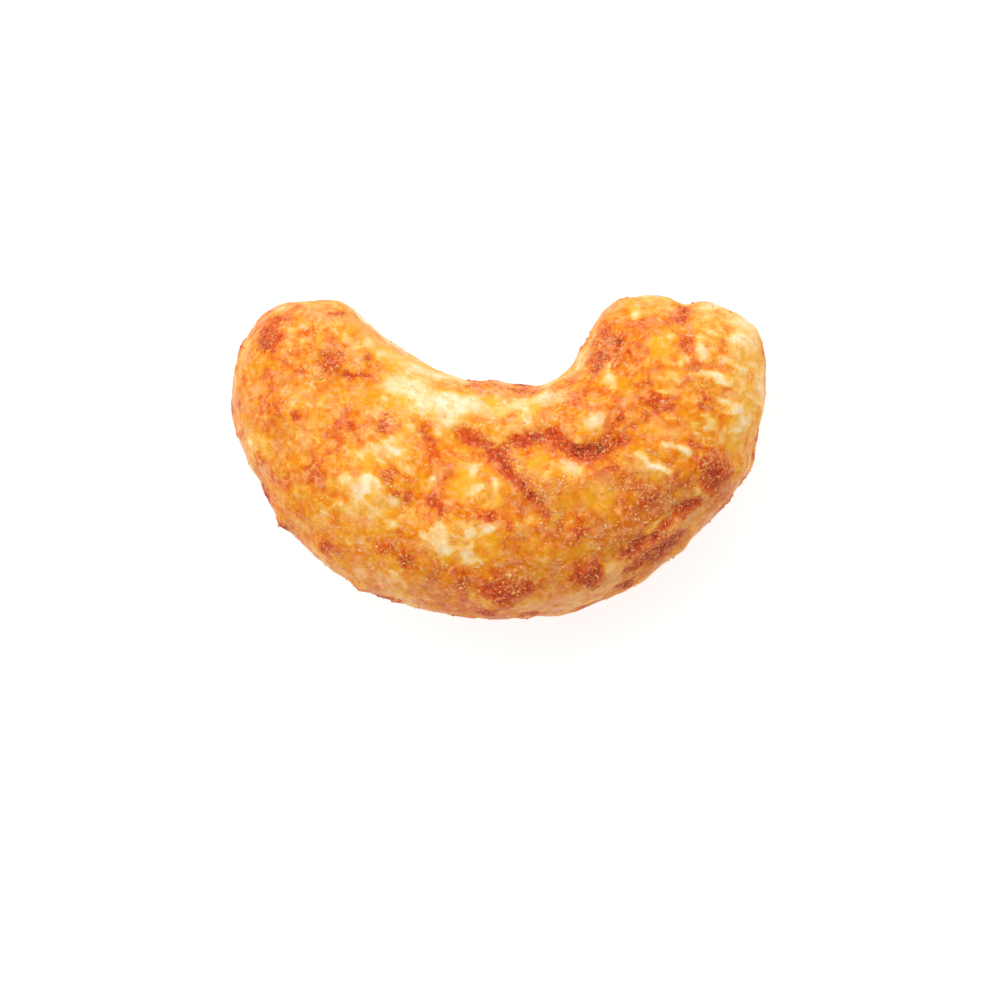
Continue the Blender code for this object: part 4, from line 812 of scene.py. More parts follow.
class Graph:
    """A material's shader tree, built node by node."""

    def __init__(self, name: str) -> None:
        """Starts a material with an empty tree.

        Args:
            name: The material's name.
        """
        self.material = bpy.data.materials.new(name)
        self.material.use_nodes = True
        self.tree = self.material.node_tree
        self.tree.nodes.clear()

    def node(
        self,
        kind: str,
        settings: dict[str, object] | None = None,
        inputs: dict[str | int, object] | None = None,
        output: str | None = None,
    ) -> Wire:
        """Adds one node.

        Args:
            kind: The node's type.
            settings: Its own settings, which are set first.
            inputs: A value or a Wire for each socket, by the socket's name or place.
            output: Name of the output to hand on; the first one if it is left out.

        Returns:
            The chosen output.
        """
        made = self.tree.nodes.new(kind)
        for name, value in (settings or {}).items():
            if name == "stops":
                self.set_stops(made.color_ramp, value)
            else:
                setattr(made, name, value)
        for name, value in (inputs or {}).items():
            socket = self.find(made.inputs, name)
            if isinstance(value, Wire):
                self.tree.links.new(value.socket, socket)
            else:
                socket.default_value = value
        return Wire(self, self.find(made.outputs, output)) if len(made.outputs) else None

    @staticmethod
    def set_stops(ramp: bpy.types.ColorRamp, stops: tuple[tuple[float, str], ...]) -> None:
        """Gives a colour ramp its stops.

        Args:
            ramp: The ramp.
            stops: A place and a screen colour each, lowest first.
        """
        while len(ramp.elements) < len(stops):
            ramp.elements.new(1.0)
        for element, (place, code) in zip(ramp.elements, stops):
            element.position = place
            element.color = paint(code)

    @staticmethod
    def find(sockets: bpy.types.bpy_prop_collection, name: str | int | None) -> bpy.types.NodeSocket:
        """Finds a socket among those in use.

        Args:
            sockets: The sockets to look through.
            name: Its name or place, or None for the first.

        Returns:
            The socket.
        """
        if isinstance(name, int):
            return sockets[name]
        return next(s for s in sockets if s.enabled and name in (None, s.name))

    def vector_maths(self, operation: str, inputs: dict[str | int, object]) -> Wire:
        """Adds a Vector Math node that works on these vectors, colours or values."""
        return self.node("ShaderNodeVectorMath", {"operation": operation}, inputs)

    def place(self) -> Wire:
        """The point on the piece, in millimetres."""
        metres = self.node("ShaderNodeTexCoord", output="Object")
        return self.vector_maths("SCALE", {0: metres, "Scale": 1 / MM})

    def clouds(self, place: Wire, size: float, detail: float = 3.0, seed: float = 0.0) -> Wire:
        """Soft noise from 0 to 1, with waves of this size in millimetres."""
        moved = self.vector_maths("ADD", {0: place, 1: (seed, -seed, seed)})
        return self.node(
            "ShaderNodeTexNoise", {}, {"Vector": moved, "Scale": 1 / size, "Detail": detail}, "Fac"
        )

    def swirl(self, place: Wire, size: float, reach: float) -> Wire:
        """Moves each point about by up to half this reach, in eddies of this size, in millimetres."""
        eddy = self.node(
            "ShaderNodeTexNoise", {}, {"Vector": place, "Scale": 1 / size, "Detail": 2.0}, "Color"
        )
        return self.vector_maths("MULTIPLY_ADD", {0: eddy, 1: (reach,) * 3, 2: place})

    def grit(self, place: Wire, size: float, output: str) -> Wire:
        """Cells of this size in millimetres: their Distance, or their random Color."""
        return self.node(
            "ShaderNodeTexVoronoi", {}, {"Vector": place, "Scale": 1 / size, "Randomness": 1.0}, output
        )

    def luck(self, place: Wire, size: float, channel: str) -> Wire:
        """One random number from 0 to 1 for each cell of this size, from a channel of its colour."""
        colour = self.grit(place, size, "Color")
        return self.node("ShaderNodeSeparateColor", {}, {"Color": colour}, channel)

    def attribute(self, name: str) -> Wire:
        """A number that the mesh holds at each of its points."""
        return self.node("ShaderNodeAttribute", {"attribute_name": name}, {}, "Fac")

    def blend(self, share: Term, under: object, over: object) -> Wire:
        """Lays one colour over another by a share."""
        return self.node(
            "ShaderNodeMix", {"data_type": "RGBA"}, {"Factor": share, "A": under, "B": over}
        )

    def shade(self, colour: Wire, share: Wire) -> Wire:
        """Makes a colour lighter by a share, or darker where it is below 0, and no lighter than white."""
        scaled = self.vector_maths("SCALE", {0: colour, "Scale": 1.0 + share})
        return self.vector_maths("MINIMUM", {0: scaled, 1: WHITE[:3]})

    def finish(self, surface: dict[str, object]) -> bpy.types.Material:
        """Ends the tree with a Principled shader.

        Args:
            surface: A value or a Wire for each of the shader's sockets.

        Returns:
            The finished material.
        """
        shader = self.node("ShaderNodeBsdfPrincipled", {}, surface)
        self.node("ShaderNodeOutputMaterial", {}, {"Surface": shader})
        return self.material


class SkinMaps:
    """What varies over the skin: its stains, its noises and the bits scattered on it.

    Attributes:
        place: The point on the skin, in millimetres.
        stains: How full each stain is, from 0 to 1.
        crust: How much crust there is, from 0 to 1.
        bare: How much of the skin the crust leaves free, from 0 to 1.
        blotch: Soft blotches, like the next four from about -0.5 to 0.5.
        mottle: The mottling within them.
        speck: The finest noise.
        flecks: Lighter and darker flecks.
        luck: One number for each grain of dust.
        grime: The mixed noise that tatters the stains' edges.
        dome: Round tops of the crystals' cells, like the rest from 0 to 1.
        crystals: Single pale crystals and crumbs.
        flakes: Flat pale flakes.
        wisps: Thin pale wisps.
        freckles: Specks of spice dust.
    """

    def __init__(self, graph: Graph, finish: "SkinFinish") -> None:
        """Lays out the maps.

        Args:
            graph: The material's tree.
            finish: The finish, which holds the sizes.
        """
        self.place = graph.place()
        self.stains = {tone: graph.attribute(tone.value) for tone in Tone}
        self.crust = (self.stains[Tone.RUST] + self.stains[Tone.SCORCH] * finish.scorch_crust).clamped()
        self.bare = 1.0 - self.crust
        swirled = graph.swirl(self.place, finish.swirl_size, finish.swirl_reach)
        self.blotch = graph.clouds(self.place, finish.blotch_size, 2.0) - 0.5
        self.mottle = graph.clouds(self.place, finish.mottle_size, 3.0, seed=17.0) - 0.5
        self.speck = graph.clouds(self.place, finish.speck_size, 2.0, seed=5.0) - 0.5
        self.flecks = graph.clouds(swirled, finish.fleck_size, 3.0, seed=83.0) - 0.5
        self.luck = graph.luck(self.place, finish.grit_size, "Red") - 0.5
        self.grime = self.mottle * 0.9 + self.speck * 0.8 + self.luck * 0.12
        salty = self.stains[Tone.CRYSTAL]
        self.dome = 1.0 - graph.grit(self.place, finish.crystal_size, "Distance").step(0.12, 0.42)
        crystal_luck = graph.luck(self.place, finish.crystal_size, "Green")
        self.crystals = (crystal_luck + self.crust * 0.3 + salty * 0.45).step(0.8, 0.92) * self.dome
        flake_luck = graph.luck(swirled, finish.flake_size, "Red")
        flake_dome = 1.0 - graph.grit(swirled, finish.flake_size, "Distance").step(0.2, 0.55)
        self.flakes = (flake_luck + self.crust * 0.15 + salty * 0.25).step(0.66, 0.85) * flake_dome
        ridge = graph.clouds(swirled, finish.wisp_size, 3.0, seed=61.0)
        wispy = graph.clouds(self.place, finish.wispy_size, 2.0, seed=71.0).step(0.46, 0.6)
        self.wisps = (1.0 - (ridge - 0.5).size() * finish.wisp_sharpness).clamped() * wispy * self.bare
        freckled = graph.clouds(self.place, finish.freckled_size, 2.0, seed=91.0).step(0.42, 0.58)
        self.freckles = graph.luck(swirled, finish.freckle_size, "Green").step(0.72, 0.9) * freckled


@dataclass(frozen=True)
class SkinFinish:
    """Roasted cashew flesh under a film of oil, seasoning and spice dust.

    One number, the roast, runs from pale flesh to scorched crust and picks the colour. The stains
    and several sizes of noise push it up and down.

    Attributes:
        roast_stops: Screen colour at each level of the roast.
        cream: Colour of the palest flesh, and of the painted light along the edges.
        gold: Colour of the oily yellow patches.
        peach: Colour of the dusty, less roasted patches, and of the painted sheen along the rims.
        crumb: Colour of the pale flakes and crumbs.
        ochre: Colour of the broad brownish patches, which are partly painted shade on the lower right.
        cream_cover: How far the cream colour covers the palest flesh, from 0 to 1.
        gold_cover: How far the gold colour covers the oily patches.
        peach_cover: How far the peach colour covers the dusty patches and the painted sheen along the rims.
        ochre_cover: How far the ochre colour covers the brownish patches, partly painted shade.
        peach_lean: How far the flecks all over the skin lean to peach.
        gold_lean: How far the flecks between them lean to gold.
        flesh_level: Roast of unstained flesh.
        pushes: How far each stain moves the roast.
        scorch_crust: How much a scorched place counts as crust.
        hollow_shade_push: How far a hollow darkens the roast and a ridge lightens it: painted shade and
            light, with spice dust that gathers in the hollows.
        blotch_size: Width of the soft blotches, in millimetres.
        mottle_size: Width of the mottling within them.
        speck_size: Width of the finest noise.
        hue_size: Width of the flecks that lean to peach or to gold.
        crystal_size: Width of the cells that hold one crystal or crumb each.
        flake_size: Width of the cells that hold one flake each.
        freckle_size: Width of the specks of spice dust.
        freckled_size: Width of the patches that have them.
        fleck_size: Width of the lighter and darker flecks.
        wisp_size: Width of the waves along which pale wisps run.
        wisp_sharpness: How thin the wisps are.
        wispy_size: Width of the patches that have wisps.
        grit_size: Width of the dust grains.
        oil_size: Width of the patches of oil.
        swirl_size: Width of the eddies that make flakes and flecks ragged.
        swirl_reach: How far the eddies move them.
        bump_depth: Height of the finest relief, in millimetres.
        bump_strength: How strongly it shades.
        roughness: How dull bare skin is.
        coat: Strength of the film of oil.
        coat_roughness: How dull that film is.
        gloss: Strength of the flesh's own reflection.
        dust: How much the spice dust lights up when it is seen at a slant.
        dust_roughness: How softly it does.
        subsurface: Share of the light that passes through the flesh.
        subsurface_reach: How far red, green and blue light go in the flesh, beside each other.
        subsurface_depth: How deep that light goes, in metres.
    """

    roast_stops: tuple[tuple[float, str], ...] = (
        (0.00, "FFF0DA"),
        (0.12, "FDDFA6"),
        (0.28, "F9BF58"),
        (0.42, "F0981A"),
        (0.54, "EA7C06"),
        (0.66, "DE5E0A"),
        (0.78, "D04812"),
        (0.90, "BE3E19"),
        (1.00, "96351C"),
    )
    cream: str = "FFF0D4"
    gold: str = "F8AE10"
    peach: str = "F6B482"
    crumb: str = "FBD0A4"
    ochre: str = "B8791E"
    cream_cover: float = 0.45
    gold_cover: float = 0.7
    peach_cover: float = 0.6
    ochre_cover: float = 0.4
    peach_lean: float = 0.28
    gold_lean: float = 0.45
    flesh_level: float = 0.465
    pushes: tuple[tuple[Tone, float], ...] = (
        (Tone.CREAM, -0.35),
        (Tone.GOLD, -0.03),
        (Tone.AMBER, 0.16),
        (Tone.PEACH, -0.03),
        (Tone.RUST, 0.34),
        (Tone.SCORCH, 0.14),
    )
    scorch_crust: float = 0.4
    hollow_shade_push: float = 0.06
    blotch_size: float = 1.5
    mottle_size: float = 0.5
    speck_size: float = 0.2
    hue_size: float = 0.9
    crystal_size: float = 0.27
    flake_size: float = 0.24
    freckle_size: float = 0.17
    freckled_size: float = 1.1
    fleck_size: float = 0.34
    wisp_size: float = 0.9
    wisp_sharpness: float = 26.0
    wispy_size: float = 2.0
    grit_size: float = 0.13
    oil_size: float = 1.3
    swirl_size: float = 0.5
    swirl_reach: float = 0.7
    bump_depth: float = 0.06
    bump_strength: float = 0.65
    roughness: float = 0.5
    coat: float = 0.18
    coat_roughness: float = 0.3
    gloss: float = 0.1
    dust: float = 0.12
    dust_roughness: float = 0.5
    subsurface: float = 0.2
    subsurface_reach: tuple[float, float, float] = (1.0, 0.42, 0.16)
    subsurface_depth: float = 0.0008

    def make(self) -> bpy.types.Material:
        """Builds the skin's material.

        Returns:
            The material.
        """
        graph = Graph("roasted_skin_finish")
        maps = SkinMaps(graph, self)
        oil = graph.clouds(maps.place, self.oil_size, 2.0, seed=31.0).step(0.4, 0.62) * self.coat
        return graph.finish(
            {
                "Base Color": self.colour(graph, maps),
                "Roughness": (self.roughness + maps.luck * 0.2 + maps.crust * 0.15).clamped(),
                "Coat Weight": (oil * maps.bare).clamped(),
                "Coat Roughness": self.coat_roughness,
                "Specular IOR Level": self.gloss,
                "Sheen Weight": self.dust,
                "Sheen Roughness": self.dust_roughness,
                "Sheen Tint": paint(self.crumb),
                "Subsurface Weight": self.subsurface,
                "Subsurface Radius": self.subsurface_reach,
                "Subsurface Scale": self.subsurface_depth,
                "Normal": self.bump(graph, maps),
            }
        )

    def roast(self, graph: Graph, maps: SkinMaps) -> Wire:
        """How far the flesh is roasted, from 0 for pale to 1 for scorched.

        Args:
            graph: The material's tree.
            maps: What varies over the skin.

        Returns:
            The roast.
        """
        uneven = (maps.blotch * 0.55 + maps.mottle * 0.54) * (1.0 - maps.crust * 0.5)
        # Hollows darken the roast as painted shade, with spice dust gathering there; ridges come out lighter.
        roast = self.flesh_level + uneven + graph.attribute(HOLLOW_SHADE) * self.hollow_shade_push
        for tone, push in self.pushes:
            ragged = (maps.stains[tone] + maps.grime).step(0.28, 0.72)
            roast = roast + (maps.stains[tone] + ragged) * (push / 2)
        roast = roast + maps.speck * 0.32 * (1.0 + maps.crust * 1.2)
        return (roast - maps.crystals * 0.10 + maps.freckles * 0.08).clamped()

    def colour(self, graph: Graph, maps: SkinMaps) -> Wire:
        """The roast's colour under washes of cream, gold, peach, ochre and crumbs.

        Args:
            graph: The material's tree.
            maps: What varies over the skin.

        Returns:
            The colour.
        """
        stains, bare, mottle, speck = maps.stains, maps.bare, maps.mottle, maps.speck
        # The cream stain also carries painted light along the edges.
        white = (stains[Tone.CREAM] + maps.grime * 1.7).step(0.62, 0.95)
        yellow = (stains[Tone.GOLD] + mottle * 0.9 + speck * 0.4).step(0.25, 0.8) * bare
        # The peach stain is partly dust and partly painted sheen along the rims.
        dusty = (stains[Tone.PEACH] - mottle * 1.1 - speck * 0.8).step(0.2, 0.95) * bare
        hue = graph.clouds(maps.place, self.hue_size, 2.0, seed=43.0) - speck * 0.2
        # The ochre wash: brownish patches, partly painted shade on the lower right.
        brown = (stains[Tone.OCHRE] - stains[Tone.CREAM] + maps.blotch * 0.6 + mottle * 0.4).clamped()
        pale = (maps.flakes * (0.2 + stains[Tone.CRYSTAL] * 0.25) + maps.wisps * 0.3).clamped()
        rich = (yellow * 0.4 + maps.crust * 0.5 + stains[Tone.OCHRE] * 0.4).clamped()
        washes = (
            (white * self.cream_cover, self.cream),
            (yellow * self.gold_cover, self.gold),
            (dusty * self.peach_cover, self.peach),
            (hue.step(0.5, 0.7) * self.peach_lean * bare, self.peach),
            ((1.0 - hue).step(0.5, 0.7) * self.gold_lean * bare, self.gold),
            (brown * self.ochre_cover * bare, self.ochre),
            (pale * (1.0 - maps.crust * 0.6), self.crumb),
            ((maps.flecks * 1.6 - 0.04).clamped() * (1.0 - rich), self.crumb),
        )
        roast = self.roast(graph, maps)
        colour = graph.node("ShaderNodeValToRGB", {"stops": self.roast_stops}, {"Fac": roast}, "Color")
        for share, code in washes:
            colour = graph.blend(share, colour, paint(code))
        return graph.shade(colour, maps.flecks * 0.4 + maps.luck * 0.04)

    def bump(self, graph: Graph, maps: SkinMaps) -> Wire:
        """The finest relief.

        Args:
            graph: The material's tree.
            maps: What varies over the skin.

        Returns:
            The bent normal.
        """
        height = maps.speck * 0.5 + maps.mottle * 0.8 + maps.luck * 0.15
        height = height + maps.dome * (0.15 + maps.crust * 0.25) + maps.flakes * 0.5 + maps.wisps * 0.3
        return graph.node(
            "ShaderNodeBump",
            {},
            {"Strength": self.bump_strength, "Distance": self.bump_depth * MM, "Height": height},
        )


@dataclass(frozen=True)
class GrainFinish:
    """Loose seasoning: the colours run from one grain to the next by its own number.

    Attributes:
        name: Name of the material.
        stops: Screen colours from the lowest number to the highest.
        roughness: How dull the grains are.
        gloss: Strength of their reflection.
        subsurface: Share of the light that passes through them.
        subsurface_reach: How far red, green and blue light go in them, beside each other.
        subsurface_depth: How deep that light goes, in metres.
    """

    name: str
    stops: tuple[str, ...]
    roughness: float
    gloss: float = 0.15
    subsurface: float = 0.1
    subsurface_reach: tuple[float, float, float] = (1.0, 0.5, 0.25)
    subsurface_depth: float = 0.0003

    def make(self) -> bpy.types.Material:
        """Builds the grains' material.

        Returns:
            The material.
        """
        graph = Graph(self.name)
        number = graph.attribute(NUMBER)
        colour: object = paint(self.stops[0])
        steps = len(self.stops) - 1
        for place, code in enumerate(self.stops[1:]):
            share = number.step(place / steps, (place + 1) / steps)
            colour = graph.blend(share, colour, paint(code))
        return graph.finish(
            {
                "Base Color": colour,
                "Roughness": self.roughness,
                "Specular IOR Level": self.gloss,
                "Subsurface Weight": self.subsurface,
                "Subsurface Radius": self.subsurface_reach,
                "Subsurface Scale": self.subsurface_depth,
            }
        )


@dataclass
class KernelSkin:
    """The kernel's visible body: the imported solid's shape with its fine relief and stains.

    Attributes:
        finish: The skin's finish.
        quad: Side of the fine mesh's quads, in metres.
        weld: Distance within which the solid's points are one, in metres.
        smoothing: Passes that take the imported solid's facets away.
        calm: Heights in millimetres between which the relief grows, so the resting spots stay flat.
        face_turn: Upward tilts of the normal between which the creases of the upper face appear.
        side_turn: Upward tilts of the normal between which the stains of the sides fade out.
        stain_sway: How far the stains wander off their routes, in millimetres.
        fine_waves: The small waves of that sway, along X, Y and Z.
        broad_waves: The large waves of that sway, along X, Y and Z.
        height_share: How much heights count in the distance to a stain.
        crease_sway: How far the creases wander off their routes, in millimetres.
        crease_waves: The waves of that sway, along X and Y.
        crease_level: How full a crease is on the whole, from 0 to 1.
        crease_breaks: The waves that make it fuller or weaker along its route.
        streak_length: Length of one wave of the streaks, in millimetres.
        streak_width: Width of one wave of the streaks, in millimetres.
        streak_contrast: How far the streaks stain the skin.
        streak_seed: Offset of the first streaks' noise.
        rises: How far each stain stands out, in millimetres.
        roughenings: The waves of the skin's roughness, with their heights in millimetres.
        hollow_passes: Smoothing passes with which hollows are found.
        hollow_step: Passes between two sizes of hollow.
        hollow_spread: Depth, in standard deviations, at which a hollow is nearly full.
    """

    finish: SkinFinish = field(default_factory=SkinFinish)
    quad: float = 0.000121
    weld: float = 1e-6
    smoothing: int = 36
    calm: tuple[float, float] = (0.15, 0.9)
    face_turn: tuple[float, float] = (-0.3, 0.05)
    side_turn: tuple[float, float] = (0.1, 0.5)
    stain_sway: float = 0.15
    fine_waves: tuple[Ripple, ...] = (Ripple(0.7, 3.3), Ripple(0.7, 7.9), Ripple(0.7, 15.1))
    broad_waves: tuple[Ripple, ...] = (Ripple(1.9, 21.3), Ripple(1.9, 27.9), Ripple(1.9, 33.1))
    height_share: float = 0.6
    crease_sway: float = 0.14
    crease_waves: tuple[Ripple, ...] = (Ripple(0.9, 13.3), Ripple(0.9, 17.9))
    crease_level: float = 0.8
    crease_breaks: Ripple = Ripple(0.8, 29.0, 0.9)
    streak_length: float = 1.0
    streak_width: float = 0.3
    streak_contrast: float = 1.3
    streak_seed: float = 101.0
    rises: tuple[tuple[Tone, float], ...] = ((Tone.RUST, 0.05), (Tone.CREAM, 0.03))
    roughenings: tuple[Ripple, ...] = (
        Ripple(1.1, 71.0, 0.08),
        Ripple(0.45, 83.0, 0.024, 0.03),
        Ripple(0.24, 97.0, 0.010, 0.015),
    )
    hollow_passes: int = 36
    hollow_step: int = 12
    hollow_spread: float = 1.5

    def build(self) -> bpy.types.Object:
        """Models, stains and dresses the skin.

        Returns:
            The finished piece.
        """
        piece = self.fine_copy()
        places, normals = self.points(piece)
        stains = self.stains(places, normals)
        relief = self.relief(places, normals, stains)
        piece.data.vertices.foreach_set("co", ((places + normals * relief[:, None]) * MM).ravel())
        for tone, amount in stains.items():
            hold(piece.data, tone.value, amount)
        piece.data.update()
        # How deep each point lies; the colour is darkened in the hollows from it as painted shade.
        hold(piece.data, HOLLOW_SHADE, self.hollows(piece))
        piece.data.materials.clear()
        piece.data.materials.append(self.finish.make())
        piece.data.shade_smooth()
        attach(piece, BODY)
        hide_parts(NODE)
        return piece

    def fine_copy(self) -> bpy.types.Object:
        """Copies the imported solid, and rebuilds the copy from fine, even, smooth quads.

        Returns:
            The copy.
        """
        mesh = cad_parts[NODE].data.copy()
        piece = bpy.data.objects.new("roasted_skin", mesh)
        bpy.context.scene.collection.objects.link(piece)
        select_only(piece)
        bpy.ops.object.mode_set(mode="EDIT")
        bpy.ops.mesh.select_all(action="SELECT")
        bpy.ops.mesh.remove_doubles(threshold=self.weld)
        bpy.ops.object.mode_set(mode="OBJECT")
        remesh = piece.modifiers.new("fine_quads", "REMESH")
        remesh.mode = "VOXEL"
        remesh.voxel_size = self.quad
        bpy.ops.object.modifier_apply(modifier=remesh.name)
        smooth = piece.modifiers.new("even_out", "SMOOTH")
        smooth.iterations = self.smoothing
        bpy.ops.object.modifier_apply(modifier=smooth.name)
        return piece

    @staticmethod
    def points(piece: bpy.types.Object) -> tuple[np.ndarray, np.ndarray]:
        """Reads a piece's mesh.

        Args:
            piece: The piece.

        Returns:
            Its points in millimetres, and its normals there.
        """
        count = len(piece.data.vertices)
        places = np.empty(count * 3)
        normals = np.empty(count * 3)
        piece.data.vertices.foreach_get("co", places)
        piece.data.vertices.foreach_get("normal", normals)
        return places.reshape(-1, 3) / MM, normals.reshape(-1, 3)

    def hollows(self, piece: bpy.types.Object) -> np.ndarray:
        """How deep each point lies among its surroundings, where dust gathers and where the roast is darkened
        as painted shade.

        Args:
            piece: The skin with its relief.

        Returns:
            One value for each point, from -1 on a ridge to 1 in a hollow.
        """
        places, normals = self.points(piece)
        ends = np.empty(len(piece.data.edges) * 2, np.int32)
        piece.data.edges.foreach_get("vertices", ends)
        first, second = ends[::2], ends[1::2]
        count = np.bincount(ends)
        depth = np.zeros(len(places))
        smoothed = places.copy()
        for number in range(1, self.hollow_passes + 1):
            for axis in range(3):
                near = np.bincount(first, smoothed[second, axis], len(places))
                near += np.bincount(second, smoothed[first, axis], len(places))
                smoothed[:, axis] = (smoothed[:, axis] + near / count) / 2
            if number % self.hollow_step == 0:
                depth += ((smoothed - places) * normals).sum(axis=1)
        depth -= np.median(depth)
        return np.tanh(depth / (self.hollow_spread * depth.std()))

    def stains(self, places: np.ndarray, normals: np.ndarray) -> dict[Tone, np.ndarray]:
        """How strongly each stain shows at each point.

        Args:
            places: Points in millimetres.
            normals: Normals there.

        Returns:
            A share from 0 to 1 for each tone and point.
        """
        sway = side_by_side(self.fine_waves, places) + side_by_side(self.broad_waves, places)
        lower = np.array([1.0, 1.0, self.height_share])
        swayed = (places + self.stain_sway * sway) * lower
        face = UpperFace(places * lower, normals)
        aside = 1.0 - smooth_step(normals[:, 2], *self.side_turn)
        result = {}
        for tone, marks in MARKS.items():
            bare = np.ones(len(places))
            for mark in marks:
                bare *= 1.0 - mark.strength * bell(distance_to(swayed, face.lay(mark.route)), mark.reach)
            bare *= 1.0 - DRIFTS[tone].amount(places, aside)
            result[tone] = 1.0 - bare
        streaks = self.streaks(places)
        result[Tone.CREAM] = np.clip(result[Tone.CREAM] + np.maximum(streaks, 0.0), 0.0, 1.0)
        result[Tone.AMBER] = np.clip(result[Tone.AMBER] - np.minimum(streaks, 0.0), 0.0, 1.0)
        return result

    def streaks(self, places: np.ndarray) -> np.ndarray:
        """How pale, above 0, or toasted, below 0, the streaks are at each point.

        Args:
            places: Points in millimetres.

        Returns:
            One value of about -1 to 1 for each point.
        """
        total = np.zeros(len(places))
        for number, part in enumerate(STREAKS):
            away = distance_to(places, (part.middle,))
            angle = math.radians(part.angle)
            along = places[:, 0] * math.cos(angle) + places[:, 1] * math.sin(angle)
            across = places[:, 1] * math.cos(angle) - places[:, 0] * math.sin(angle)
            stretched = np.stack([along / self.streak_length, across / self.streak_width], axis=1)
            drawn_out = np.column_stack([stretched, places[:, 2]])
            waves = noise_at(drawn_out, 1.0, self.streak_seed + number)
            total += part.strength * bell(away, part.reach) * self.streak_contrast * waves
        return total

    def relief(
        self, places: np.ndarray, normals: np.ndarray, stains: dict[Tone, np.ndarray]
    ) -> np.ndarray:
        """How far the skin stands out at each point, in millimetres.

        Args:
            places: Points in millimetres.
            normals: Normals there.
            stains: The stains, because crusts stand out.

        Returns:
            One height for each point.
        """
        on_top = smooth_step(normals[:, 2], *self.face_turn)
        sideways = 1.0 - normals[:, 2] ** 2
        height = sum(stains[tone] * rise for tone, rise in self.rises)
        swung = places[:, :2] + self.crease_sway * side_by_side(self.crease_waves, places)
        broken = on_top * (self.crease_level + self.crease_breaks.at(places))
        for crease in CREASES:
            away = distance_to(swung, crease.route)
            lip_away = away * math.copysign(1.0, crease.lip) - crease.lip_place * crease.width
            height += broken * crease.rise * bell(away, crease.width)
            height += broken * abs(crease.lip) * bell(lip_away, crease.width)
        for swell in SWELLS:
            height += sideways * swell.rise * bell(distance_to(places, (swell.middle,)), swell.reach)
        for roughening in self.roughenings:
            height += roughening.at(places, stains[Tone.RUST])
        for wrinkles in WRINKLES:
            height -= wrinkles.depth_at(places, on_top)
        return height * smooth_step(places[:, 2], *self.calm)


